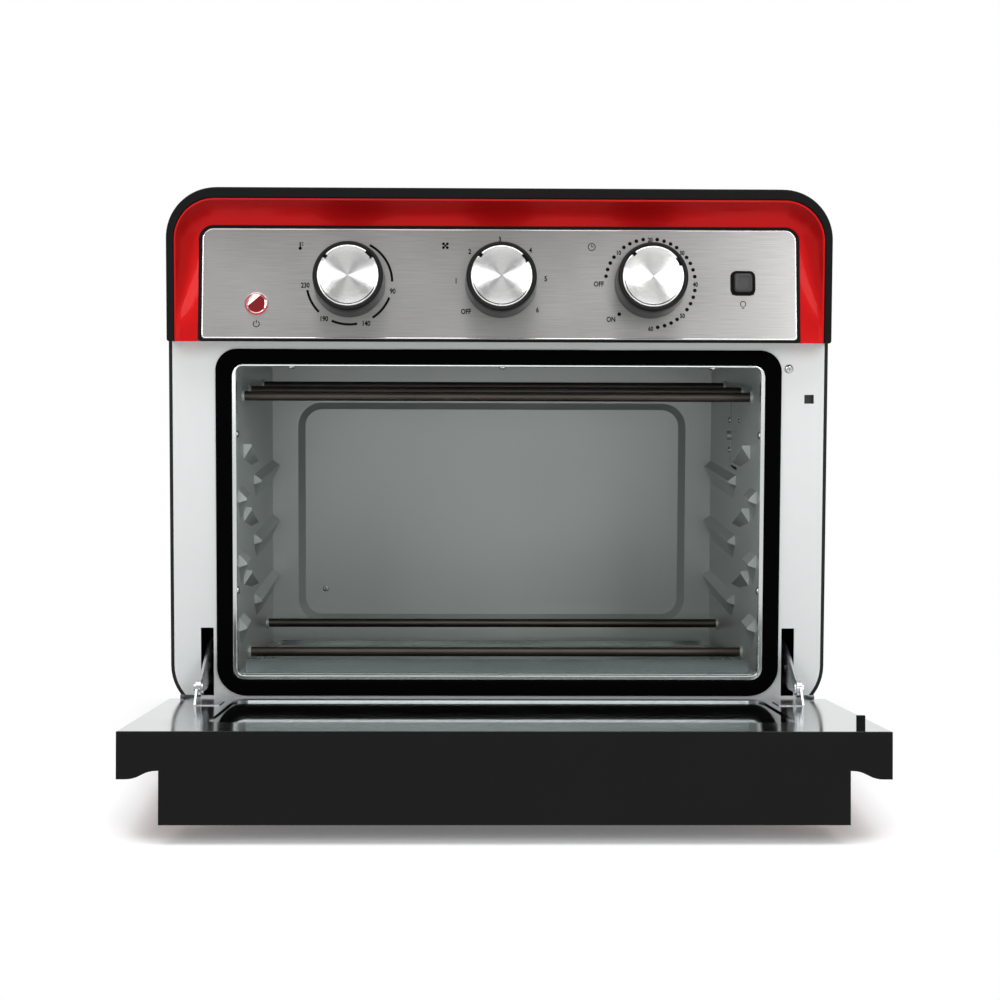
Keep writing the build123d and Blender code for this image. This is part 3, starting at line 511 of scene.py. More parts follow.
class Workshop:
    """Builds each finish once and dresses the CAD nodes."""

    NODE_FINISH = {
        "door_inner_panel": "door_steel",
        "front_flange": "flange_steel",
        "mouth_rim": "rim_steel",
        # The crumb tray takes tray_steel, darkened with painted shade.
        "crumb_tray": "tray_steel",
        "heater_insulators": "cavity_steel",
        # The hinge rollers take the near-black slot_steel: painted shade in place of their bare steel.
        "hinge_rollers": "slot_steel",
        "cavity_back": "cavity_steel",
        "cavity_ceiling": "cavity_steel",
        "cavity_floor": "cavity_steel",
        "cavity_wall_left": "cavity_steel",
        "cavity_wall_right": "cavity_steel",
    }

    def __init__(self) -> None:
        """Starts with nothing built."""
        self.made: dict[str, Material] = {}

    def finish(self, name: str) -> Material:
        """Returns a finish by name, making it the first time.

        Args:
            name: The finish's name.

        Returns:
            Its material.
        """
        if name not in self.made:
            self.made[name] = FINISHES[name].build()
        return self.made[name]

    def dress_frame(self) -> None:
        """Gives every CAD node the finish of its material slot, or its own."""
        for name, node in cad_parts.items():
            for index, slot in enumerate(node.material_slots):
                finish = self.NODE_FINISH.get(name, slot.material.name.split(".")[0])
                node.material_slots[index].material = self.finish(finish)
            LOG.info("dressed %s", name)


# Places on the oven


@dataclass(frozen=True)
class Face:
    """A flat face of the oven, with its own directions."""

    origin: Vector
    across: Vector
    up: Vector

    @property
    def out(self) -> Vector:
        """The direction away from the face."""
        return self.across.cross(self.up)

    def matrix(self, across: float, up: float, out: float = 0.0) -> Matrix:
        """Returns the placement of a point given in metres along the face's directions.

        Args:
            across: How far across the face it is.
            up: How far up the face.
            out: How far off the face.

        Returns:
            The placement, with local Z away from the face.
        """
        spot = self.origin + self.across * across + self.up * up + self.out * out
        turn = Matrix((self.across, self.up, self.out)).transposed()
        return Matrix.Translation(spot) @ turn.to_4x4()

    def local(self, point: Vector) -> Vector:
        """Returns a point's distances along the face's directions."""
        gap = point - self.origin
        return Vector((gap.dot(self.across), gap.dot(self.up), gap.dot(self.out)))


def middle(node: str) -> Vector:
    """Returns the middle of a CAD node's box."""
    low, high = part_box(node)
    return (low + high) / 2


def front_of(node: str) -> Vector:
    """Returns the direction that the front of a CAD node faces, taken over its forward faces.

    Args:
        node: The CAD node.

    Returns:
        The direction, of length 1.
    """
    total = Vector((0.0, 0.0, 0.0))
    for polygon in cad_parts[node].data.polygons:
        if polygon.normal.dot(FORWARD) > 0.5:
            total += polygon.normal * polygon.area
    return total.normalized()


def panel_face(thickness: float = 1.0) -> Face:
    """Returns the control panel's front face, with its origin at the middle of its lower edge.

    Args:
        thickness: The plate's thickness in millimetres.

    Returns:
        The face.
    """
    out = front_of("control_panel")
    low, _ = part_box("control_panel")
    return Face(Vector((0.0, low.y, low.z + thickness * MM * out.z)), RIGHT, Vector((0.0, out.z, -out.y)))


# Meshes


def mesh_object(name: str, shape: Form, finish: Material) -> bpy.types.Object:
    """Turns a bmesh into an object with one finish.

    Args:
        name: The object's name.
        shape: The mesh, which is freed.
        finish: Its material.

    Returns:
        The object, linked to the scene.
    """
    mesh = bpy.data.meshes.new(name)
    bmesh.ops.recalc_face_normals(shape, faces=shape.faces)
    shape.to_mesh(mesh)
    shape.free()
    mesh.materials.append(finish)
    thing = bpy.data.objects.new(name, mesh)
    bpy.context.scene.collection.objects.link(thing)
    LOG.info("made %s", name)
    return thing


def reframed(node: str, place: Matrix, finish: Material) -> bpy.types.Object:
    """Stands for a CAD node with the same surface on axes of its own, which its grain follows.

    Args:
        node: The CAD node.
        place: The new object's axes and origin.
        finish: Its material.

    Returns:
        The object, which replaces the node.
    """
    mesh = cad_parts[node].data.copy()
    mesh.name = f"{node}_skin"
    mesh.transform(place.inverted())
    mesh.materials.clear()
    mesh.materials.append(finish)
    for polygon in mesh.polygons:
        polygon.material_index = 0
    thing = bpy.data.objects.new(mesh.name, mesh)
    thing.matrix_world = place
    bpy.context.scene.collection.objects.link(thing)
    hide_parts(node)
    LOG.info("made %s", mesh.name)
    return thing


def turned(shape: Form, profile: Sequence[Point], place: Matrix, sides: int) -> None:
    """Adds a turned form to a mesh.

    Args:
        shape: The mesh to add to.
        profile: Radius and height pairs in millimetres, from the axis outwards and back to it.
        place: Where its axis stands, with local Z along it.
        sides: The number of sides round the axis.
    """
    rings = []
    for radius, height in profile:
        if radius == 0:
            rings.append([shape.verts.new(place @ Vector((0.0, 0.0, height * MM)))])
            continue
        ring = []
        for side in range(sides):
            angle = math.tau * side / sides
            local = Vector((math.cos(angle) * radius, math.sin(angle) * radius, height)) * MM
            ring.append(shape.verts.new(place @ local))
        rings.append(ring)
    for inner, outer in zip(rings, rings[1:]):
        for side in range(sides):
            after = (side + 1) % sides
            if len(inner) == 1:
                face = (inner[0], outer[side], outer[after])
            elif len(outer) == 1:
                face = (inner[side], outer[0], inner[after])
            else:
                face = (inner[side], outer[side], outer[after], inner[after])
            shape.faces.new(face).smooth = True


def ring_at(shape: Form, outline: Sequence[Point], place: Matrix, height: float) -> list[Any]:
    """Adds a ring of vertices to a mesh.

    Args:
        shape: The mesh to add to.
        outline: The ring's points in millimetres.
        place: The axes that they lie on.
        height: How far up those axes they stand, in millimetres.

    Returns:
        The new vertices, in order.
    """
    return [shape.verts.new(place @ Vector((x * MM, y * MM, height * MM))) for x, y in outline]


def bridge(shape: Form, rings: Sequence[list[Any]], smooth: bool, loop: bool = False) -> None:
    """Joins each ring of vertices to the next with faces.

    Args:
        shape: The mesh that holds the rings.
        rings: The rings, each with as many vertices.
        smooth: Whether the faces are shaded smooth.
        loop: Whether the last ring joins the first.
    """
    following = list(rings[1:]) + list(rings[:1] if loop else [])
    for low, high in zip(rings, following):
        for index in range(len(low)):
            after = (index + 1) % len(low)
            shape.faces.new((low[index], low[after], high[after], high[index])).smooth = smooth


def slab(shape: Form, outline: Sequence[Point], place: Matrix, low: float, high: float) -> None:
    """Adds a flat plate with an outline to a mesh, all in millimetres.

    Args:
        shape: The mesh to add to.
        outline: The plate's outline.
        place: The axes that it lies on.
        low: The height of its underside.
        high: The height of its face.
    """
    rings = [ring_at(shape, outline, place, height) for height in (low, high)]
    shape.faces.new(rings[0][::-1])
    shape.faces.new(rings[1])
    bridge(shape, rings, smooth=False)


def arc_points(radius: float, start: float, end: float, count: int) -> list[Point]:
    """Returns points along an arc, in millimetres and degrees.

    Args:
        radius: The arc's radius.
        start: Its first angle.
        end: Its last angle.
        count: The number of steps between them.

    Returns:
        The points, one more than the steps.
    """
    points = []
    for index in range(count + 1):
        angle = math.radians(start + (end - start) * index / count)
        points.append((radius * math.cos(angle), radius * math.sin(angle)))
    return points


def circle_points(radius: float, count: int) -> list[Point]:
    """Returns points round a circle, in millimetres."""
    return arc_points(radius, 0.0, 360.0 * (count - 1) / count, count - 1)


def corner_points(centre: Point, radius: float, start: float) -> list[Point]:
    """Returns a rounded corner's points about its centre, in millimetres and degrees."""
    return [(centre[0] + x, centre[1] + y) for x, y in arc_points(radius, start, start + 90.0, 6)]


def band_points(radius: float, width: float, start: float, end: float, count: int) -> list[Point]:
    """Returns the outline of an arc of a ring, in millimetres and degrees.

    Args:
        radius: The radius of the ring's middle.
        width: The ring's width.
        start: Its first angle.
        end: Its last angle.
        count: The number of steps.

    Returns:
        The outline.
    """
    outer = arc_points(radius + width / 2, start, end, count)
    inner = arc_points(radius - width / 2, start, end, count)
    return outer + inner[::-1]


def facing(direction: Vector, spot: Vector) -> Matrix:
    """Returns a placement at a spot, with local Z along a direction."""
    return Matrix.Translation(spot) @ direction.to_track_quat("Z", "Y").to_matrix().to_4x4()


# Dial print


@dataclass
class DialPrint:
    """The printed scales round the three knobs, and the signs by the dials, the lamp and the key."""

    shop: Workshop
    panel: Face
    ink_thickness: float = 0.03
    figure_height: float = 3.0
    minute_height: float = 2.6
    capital_share: float = 0.7
    boldness: float = 0.15
    narrow: float = 0.8
    drop: float = 0.7
    heat_radius: float = 25.6
    heat_width: float = 1.45
    heat_figures: float = 26.4
    figures_out: float = 27.0
    stops: int = 7
    first_stop: float = 219.0
    stop_step: float = 42.5
    timer_marks: int = 31
    marks_per_figure: int = 5
    minutes_per_mark: int = 2
    first_minute: float = 180.0
    minute_step: float = 9.0
    minute_dot: float = 1.15
    timer_off: float = 31.0
    timer_on: Point = (32.0, -138.0)
    timer_on_dot: Point = (26.6, -135.0)
    thermometer_spot: Point = (-29.6, 22.0)
    fan_spot: Point = (-33.4, 22.4)
    clock_spot: Point = (-35.2, 22.0)
    lamp_sign_down: float = 12.0
    key_sign_down: float = 13.2

    def build(self) -> None:
        """Prints every scale on the panel."""
        self.thermostat()
        self.function()
        self.timer()
        self.signs()

    def centre(self, dial: str) -> Point:
        """Returns a dial's centre on the panel in millimetres."""
        local = self.panel.local(middle(f"{dial}_cap"))
        return local.x / MM, local.y / MM

    def keep(self, name: str, shape: Form) -> None:
        """Finishes a print mesh and fixes it on the panel."""
        piece = mesh_object(name, shape, self.shop.finish("print_ink"))
        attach(piece, Body.OVEN.value)

    def text(self, shape: Form, words: str, spot: Point, height: float) -> None:
        """Adds letters to a print mesh.

        Args:
            shape: The mesh to add to.
            words: The letters.
            spot: Their middle on the panel, in millimetres.
            height: The height of a capital letter, in millimetres.
        """
        curve = bpy.data.curves.new("letters", "FONT")
        curve.body = words
        curve.align_x = "CENTER"
        curve.align_y = "CENTER"
        curve.size = height / self.capital_share * MM
        curve.resolution_u = 3
        curve.offset = self.boldness * MM
        thing = bpy.data.objects.new("letters", curve)
        mesh = bpy.data.meshes.new_from_object(thing)
        mesh.transform(Matrix.Scale(self.narrow, 4, RIGHT))
        place = self.panel.matrix(spot[0] * MM, (spot[1] - self.drop) * MM, self.ink_thickness * MM)
        mesh.transform(place)
        shape.from_mesh(mesh)
        bpy.data.objects.remove(thing)
        bpy.data.curves.remove(curve)
        bpy.data.meshes.remove(mesh)

    def plate(self, shape: Form, outline: Sequence[Point], centre: Point) -> None:
        """Adds a film of ink with an outline about a centre to a print mesh, in millimetres."""
        slab(shape, outline, self.panel.matrix(centre[0] * MM, centre[1] * MM), 0.0, self.ink_thickness)

    def ring(
        self, shape: Form, centre: Point, radius: float, width: float, start: float, end: float
    ) -> None:
        """Adds an arc of a ring to a print mesh, in millimetres and degrees."""
        count = max(4, int(abs(end - start) / 4))
        self.plate(shape, band_points(radius, width, start, end, count), centre)

    def dot(self, shape: Form, centre: Point, radius: float) -> None:
        """Adds a round dot to a print mesh, in millimetres."""
        self.plate(shape, circle_points(radius, 24), centre)

    def around(self, centre: Point, radius: float, angle: float) -> Point:
        """Returns the place at a radius and an angle from a centre."""
        turn = math.radians(angle)
        return centre[0] + radius * math.cos(turn), centre[1] + radius * math.sin(turn)

    def thermostat(self) -> None:
        """Prints the temperature scale: four arcs with a figure between each two."""
        shape = bmesh.new()
        centre = self.centre("thermostat")
        for start, end in ((62.0, 1.0), (-21.0, -57.0), (-79.0, -114.0), (-135.0, -169.0)):
            self.ring(shape, centre, self.heat_radius, self.heat_width, start, end)
        for words, angle in (("90", -10.5), ("140", -67.5), ("190", -125.0), ("230", -177.0)):
            self.text(shape, words, self.around(centre, self.heat_figures, angle), self.figure_height)
        self.keep("thermostat_scale", shape)

    def function(self) -> None:
        """Prints the function dial's stops: OFF, then six numbered places."""
        shape = bmesh.new()
        centre = self.centre("function")
        for index in range(self.stops):
            angle = self.first_stop - self.stop_step * index
            words = "OFF" if index == 0 else str(index)
            self.text(shape, words, self.around(centre, self.figures_out, angle), self.figure_height)
        self.keep("function_scale", shape)

    def timer(self) -> None:
        """Prints the timer's scale: a figure every ten minutes and a dot every two."""
        shape = bmesh.new()
        centre = self.centre("timer")
        for index in range(self.timer_marks):
            angle = self.first_minute - self.minute_step * index
            spot = self.around(centre, self.figures_out, angle)
            if index == 0:
                self.text(shape, "OFF", self.around(centre, self.timer_off, angle), self.figure_height)
            elif index % self.marks_per_figure == 0:
                self.text(shape, str(index * self.minutes_per_mark), spot, self.minute_height)
            else:
                self.dot(shape, spot, self.minute_dot)
        self.dot(shape, self.around(centre, *self.timer_on_dot), self.minute_dot)
        self.text(shape, "ON", self.around(centre, *self.timer_on), self.figure_height)
        self.keep("timer_scale", shape)

    def bar(self, shape: Form, start: Point, end: Point, width: float) -> None:
        """Adds a straight bar between two places, in millimetres.

        Args:
            shape: The mesh to add to.
            start: Where it starts on the panel.
            end: Where it ends.
            width: Its width.
        """
        ahead = Vector((end[0] - start[0], end[1] - start[1])).normalized() * (width / 2)
        side = (-ahead.y, ahead.x)
        outline = [(start[0] + side[0], start[1] + side[1]), (start[0] - side[0], start[1] - side[1])]
        outline += [(end[0] - side[0], end[1] - side[1]), (end[0] + side[0], end[1] + side[1])]
        self.plate(shape, outline, (0.0, 0.0))

    def thermometer(self, shape: Form, x: float, y: float) -> None:
        """Adds a thermometer: a bulb, a stem and three marks.

        Args:
            shape: The mesh to add to.
            x: Its middle across the panel, in millimetres.
            y: Its middle up the panel.
        """
        self.dot(shape, (x, y - 1.5), 1.0)
        self.bar(shape, (x, y - 1.5), (x, y + 2.3), 0.75)
        for rise in (0.2, 1.1, 2.0):
            self.bar(shape, (x + 0.8, y + rise), (x + 1.9, y + rise), 0.4)

    def blades(self, shape: Form, x: float, y: float) -> None:
        """Adds a fan: four blades round a hub.

        Args:
            shape: The mesh to add to.
            x: Its middle across the panel, in millimetres.
            y: Its middle up the panel.
        """
        self.dot(shape, (x, y), 0.55)
        for turn in (45.0, 135.0, 225.0, 315.0):
            self.dot(shape, self.around((x, y), 1.65, turn), 0.85)
            self.bar(shape, (x, y), self.around((x, y), 1.5, turn - 12.0), 0.6)

    def clock(self, shape: Form, x: float, y: float) -> None:
        """Adds a clock: a ring and two hands.

        Args:
            shape: The mesh to add to.
            x: Its middle across the panel, in millimetres.
            y: Its middle up the panel.
        """
        self.ring(shape, (x, y), 2.1, 0.5, 0.0, 360.0)
        self.bar(shape, (x, y - 0.2), (x, y + 1.5), 0.45)
        self.bar(shape, (x - 0.2, y), (x + 1.2, y), 0.45)

    def power(self, shape: Form, x: float, y: float) -> None:
        """Adds the sign for power: an open ring with a bar in its gap."""
        self.ring(shape, (x, y), 1.8, 0.55, 125.0, 415.0)
        self.bar(shape, (x, y + 0.3), (x, y + 2.4), 0.55)

    def bulb(self, shape: Form, x: float, y: float) -> None:
        """Adds a light bulb: an open ring on two short bars.

        Args:
            shape: The mesh to add to.
            x: Its middle across the panel, in millimetres.
            y: Its middle up the panel.
        """
        self.ring(shape, (x, y + 0.6), 1.6, 0.5, -60.0, 240.0)
        for drop in (1.2, 2.0):
            self.bar(shape, (x - 0.8, y - drop), (x + 0.8, y - drop), 0.45)

    def signs(self) -> None:
        """Prints a plain sign by each dial, the lamp and the key."""
        shape = bmesh.new()
        for dial, draw, (aside, above) in (
            ("thermostat", self.thermometer, self.thermometer_spot),
            ("function", self.blades, self.fan_spot),
            ("timer", self.clock, self.clock_spot),
        ):
            x, y = self.centre(dial)
            draw(shape, x + aside, y + above)
        lamp = self.panel.local(middle("power_lamp_lens")) / MM
        self.power(shape, lamp.x, lamp.y - self.lamp_sign_down)
        key = self.panel.local(middle("button_frame")) / MM
        self.bulb(shape, key.x, key.y - self.key_sign_down)
        self.keep("panel_signs", shape)


# Knobs


@dataclass
class Dials:
    """The knobs: a black skirt with a raised crown, a turned metal cap, and the marks inlaid in its rim."""

    shop: Workshop
    panel: Face
    bodies: dict[str, Body] = field(default_factory=lambda: {
        "thermostat": Body.THERMOSTAT, "function": Body.FUNCTION, "timer": Body.TIMER,
    })
    turns: dict[str, Point] = field(default_factory=lambda: {
        "thermostat": (140.0, 45.0), "function": (135.0, 37.0), "timer": (130.0, 30.0),
    })
    cap_radius: float = 18.3
    cap_front: float = 22.7
    cap_depth: float = 3.0
    cap_gap: float = 0.3
    crown: float = 22.6
    pocket: float = 2.6
    foot: float = 0.6
    foot_round: float = 0.4
    skirt_radius: float = 21.5
    crown_radius: float = 20.75
    sides: int = 96
    mark_depth: float = 0.4
    mark_rise: float = 0.03
    notch_half: float = 4.2
    bar_half: float = 8.8
    bar_step: float = 3.2
    thin_arc: Point = (58.0, 198.0)

    def axes(self, dial: str) -> Matrix:
        """Returns a dial's own axes: its origin on the panel and Z along its shaft."""
        local = self.panel.local(middle(f"{dial}_cap"))
        return self.panel.matrix(local.x, local.y)

    def skirt(self, dial: str, place: Matrix) -> None:
        """Turns the skirt, whose crown stands round the cap with a narrow gap.

        Args:
            dial: The dial's name.
            place: The dial's own axes.
        """
        shape = bmesh.new()
        edge, floor, wall = self.crown_radius, self.crown - self.pocket, self.cap_radius + self.cap_gap
        profile = (
            (0.0, self.foot), (self.skirt_radius - self.foot_round, self.foot),
            (self.skirt_radius, self.foot + self.foot_round), (edge + 0.25, floor),
            (edge, self.crown - 1.1), (edge - 0.35, self.crown - 0.3), (edge - 0.95, self.crown),
            (wall + 0.25, self.crown - 0.1), (wall, self.crown - 0.5), (wall, floor), (0.0, floor),
        )
        turned(shape, profile, Matrix.Identity(4), self.sides)
        piece = mesh_object(f"{dial}_skirt", shape, self.shop.finish("knob_plastic"))
        piece.matrix_world = place
        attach(piece, self.bodies[dial].value)
        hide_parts(f"{dial}_knob")

    def cap(self, dial: str, place: Matrix) -> None:
        """Turns the cap, with a bevel at its rim.

        Args:
            dial: The dial's name.
            place: The dial's own axes.
        """
        shape = bmesh.new()
        rim, front, back = self.cap_radius, self.cap_front, self.cap_front - self.cap_depth
        profile = (
            (0.0, back), (rim, back), (rim, front - 0.55), (rim - 0.3, front - 0.12), (rim - 0.8, front),
            (rim - 9.0, front), (0.0, front),
        )
        turned(shape, profile, Matrix.Identity(4), self.sides)
        piece = mesh_object(f"{dial}_face", shape, self.shop.finish("spun_aluminium"))
        piece.matrix_world = place
        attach(piece, self.bodies[dial].value)
        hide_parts(f"{dial}_cap")

    def band(self, shape: Form, radius: float, width: float, start: float, end: float) -> None:
        """Adds a thin dark arc that lies on the cap's face, in millimetres and degrees.

        Args:
            shape: The mesh to add to.
            radius: The radius of its middle.
            width: Its width.
            start: Its first angle.
            end: Its last angle.
        """
        outline = band_points(radius, width, start, end, max(3, int(abs(end - start) / 3)))
        front = self.cap_front
        slab(shape, outline, Matrix.Identity(4), front - self.mark_depth, front + self.mark_rise)

    def marks(self, dial: str, place: Matrix) -> None:
        """Inlays the pointer's notch, the short bar across from it, and the thin arc below.

        Args:
            dial: The dial's name.
            place: The dial's own axes.
        """
        shape = bmesh.new()
        notch, bar = self.turns[dial]
        left = bar - self.bar_half
        self.band(shape, self.cap_radius - 0.95, 1.9, notch - self.notch_half, notch + self.notch_half)
        self.band(shape, self.cap_radius - 0.75, 1.5, left, bar + self.bar_half)
        self.band(shape, self.cap_radius - 1.6, 1.0, left, left + self.bar_step)
        self.band(shape, self.cap_radius - 1.25, 0.5, notch + self.thin_arc[0], notch + self.thin_arc[1])
        piece = mesh_object(f"{dial}_marks", shape, self.shop.finish("print_ink"))
        piece.matrix_world = place
        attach(piece, self.bodies[dial].value)

    def build(self) -> None:
        """Makes the three knobs."""
        for dial in self.bodies:
            place = self.axes(dial)
            self.skirt(dial, place)
            self.cap(dial, place)
            self.marks(dial, place)


# The panel's plate, its lamp and its key


@dataclass
class PanelPlate:
    """The brushed plate with its polished edge, the jewel of the lamp and the pillowed key."""

    shop: Workshop
    panel: Face
    edge_width: float = 0.75
    edge_rise: float = 0.3
    corner: float = 6.6
    foot_corner: float = 2.0
    least_corner: float = 0.3
    jewel_radius: float = 5.3
    jewel_foot: float = 0.4
    jewel_top: float = 1.5
    jewel_sides: int = 48
    ring_radius: float = 6.75
    glint_turn: float = 131.0
    glint_from: float = 2.3
    glint_slope: float = 0.36
    key_half: float = 5.8
    key_top: float = 3.0
    key_foot: float = -6.0
    key_gap: float = 0.35
    frame_half: float = 7.5
    frame_wall: float = 1.2

    def plate(self) -> None:
        """Gives the plate axes of its own, so that its brushing runs across."""
        axes = Matrix((self.panel.out, self.panel.across, self.panel.up)).transposed().to_4x4()
        place = Matrix.Translation(self.panel.origin) @ axes
        plate = reframed("control_panel", place, self.shop.finish("brushed_steel"))
        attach(plate, Body.OVEN.value)

    def outline(self, inset: float) -> list[Point]:
        """Returns the plate's outline drawn in by an inset, in millimetres on the panel.

        Args:
            inset: How far in from the plate's edge it runs.

        Returns:
            The outline, with rounded corners.
        """
        low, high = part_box("control_panel")
        half = (high.x - low.x) / 2 / MM - inset
        top = self.panel.local(Vector((0.0, high.y, high.z))).y / MM - inset
        points: list[Point] = []
        for x, y, radius, start in (
            (half, inset, self.foot_corner, -90.0), (half, top, self.corner, 0.0),
            (-half, top, self.corner, 90.0), (-half, inset, self.foot_corner, 180.0),
        ):
            reach = max(radius - inset, self.least_corner)
            centre = (x - math.copysign(reach, x), y + (reach if y == inset else -reach))
            points += corner_points(centre, reach, start)
        return points

    def edge(self) -> None:
        """Lays the polished bead round the plate."""
        shape = bmesh.new()
        place = self.panel.matrix(0.0, 0.0)
        steps = ((0.0, -0.2), (0.05, 0.12), (0.3, self.edge_rise), (self.edge_width, 0.0))
        rings = [ring_at(shape, self.outline(inset), place, rise) for inset, rise in steps]
        bridge(shape, rings, smooth=True)
        piece = mesh_object("panel_edge", shape, self.shop.finish("chrome_trim"))
        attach(piece, Body.OVEN.value)

    def jewel(self) -> None:
        """Cuts the lamp's jewel, a disc with one sloping facet, and the ring round it; the sloping facet is
        pale metal, a painted highlight on the red glass.
        """
        shape = bmesh.new()
        local = self.panel.local(middle("power_lamp_lens"))
        place = self.panel.matrix(local.x, local.y)
        outline = circle_points(self.jewel_radius, self.jewel_sides)
        cut = math.radians(self.glint_turn)
        toward = Vector((math.cos(cut), math.sin(cut), 0.0))
        base = ring_at(shape, outline, place, self.jewel_foot)
        top = []
        for x, y in outline:
            beyond = max(0.0, Vector((x, y, 0.0)).dot(toward) - self.glint_from)
            height = self.jewel_top - beyond * self.glint_slope
            top.append(shape.verts.new(place @ (Vector((x, y, height)) * MM)))
        chord = math.sqrt(self.jewel_radius**2 - self.glint_from**2)
        beside = Vector((-toward.y, toward.x, 0.0))
        ends = []
        for sign in (1.0, -1.0):
            corner = toward * self.glint_from + beside * (sign * chord)
            spot = place @ ((corner + Vector((0.0, 0.0, self.jewel_top))) * MM)
            ends.append(min(top, key=lambda vertex: (vertex.co - spot).length))
        bridge(shape, [base, top], smooth=False)
        cap = shape.faces.new(top)
        bmesh.utils.face_split(cap, ends[0], ends[1])
        for facet in (face for face in shape.faces if len(face.verts) > 4):
            centre = place.inverted() @ facet.calc_center_median()
            # The facet beyond the cut takes the second finish, the pale lens_glint: a painted highlight.
            facet.material_index = int(centre.dot(toward) > self.glint_from * MM)
        shape.faces.new(base[::-1])
        piece = mesh_object("lamp_jewel", shape, self.shop.finish("red_lens"))
        piece.data.materials.append(self.shop.finish("lens_glint"))
        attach(piece, Body.OVEN.value)
        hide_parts("power_lamp_lens")
        shape = bmesh.new()
        bore, edge = self.jewel_radius, self.ring_radius
        ring = ((bore, 0.3), (edge, 0.3), (edge, 0.8), (edge - 0.35, 1.3), (edge - 0.85, 1.45), (bore, 1.1))
        turned(shape, ring + ring[:1], place, self.jewel_sides)
        piece = mesh_object("lamp_ring", shape, self.shop.finish("lens_rim"))
        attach(piece, Body.OVEN.value)

    def square(self, half: float, corner: float) -> list[Point]:
        """Returns a rounded square's outline in millimetres.

        Args:
            half: Half the square's width.
            corner: Its corners' radius.

        Returns:
            The outline.
        """
        points: list[Point] = []
        for sign_x, sign_y, start in ((1, -1, -90.0), (1, 1, 0.0), (-1, 1, 90.0), (-1, -1, 180.0)):
            centre = (sign_x * (half - corner), sign_y * (half - corner))
            points += corner_points(centre, corner, start)
        return points

    def stack(self, name: str, layers: Sequence[Triple], finish: str, hollow: bool) -> bpy.types.Object:
        """Makes a rounded square form on the key's place.

        Args:
            name: The piece's name.
            layers: Half width, corner radius and height of each outline, from the first to the last.
            finish: The finish's name.
            hollow: Whether the last outline joins the first, round a hole.

        Returns:
            The piece, which is closed at both ends where it isn't hollow.
        """
        shape = bmesh.new()
        local = self.panel.local(middle("button_frame"))
        place = self.panel.matrix(local.x, local.y)
        rings = [ring_at(shape, self.square(half, corner), place, up) for half, corner, up in layers]
        bridge(shape, rings, smooth=True, loop=hollow)
        if not hollow:
            shape.faces.new(rings[0][::-1])
            shape.faces.new(rings[-1])
        return mesh_object(name, shape, self.shop.finish(finish))

    def key(self) -> None:
        """Makes the key with its hollowed top and the frame round it."""
        half, top, foot = self.key_half, self.key_top, self.key_foot
        layers = (
            (half, 2.2, foot), (half, 2.2, top - 1.2), (half - 0.5, 2.0, top - 0.35),
            (half - 1.2, 1.7, top), (half - 2.3, 1.2, top - 0.5), (half - 2.6, 1.1, top - 0.55),
        )
        key = self.stack("light_key_cap", layers, "key_plastic", hollow=False)
        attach(key, Body.LIGHT_KEY.value)
        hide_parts("light_button")
        bore, edge, inner = half + self.key_gap, self.frame_half, self.frame_half - self.frame_wall
        layers = (
            (bore, 2.4, foot), (bore, 2.4, 0.7), (bore + 0.25, 2.6, 1.0), (edge - 0.5, 3.3, 0.9),
            (edge, 3.6, 0.3), (edge, 3.6, 0.0), (inner, 2.6, -0.2), (inner, 2.6, foot),
        )
        frame_piece = self.stack("light_key_frame", layers, "black_plastic", hollow=True)
        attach(frame_piece, Body.OVEN.value)
        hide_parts("button_frame")

    def build(self) -> None:
        """Makes every piece of the panel."""
        self.plate()
        self.edge()
        self.jewel()
        self.key()


# Small fasteners


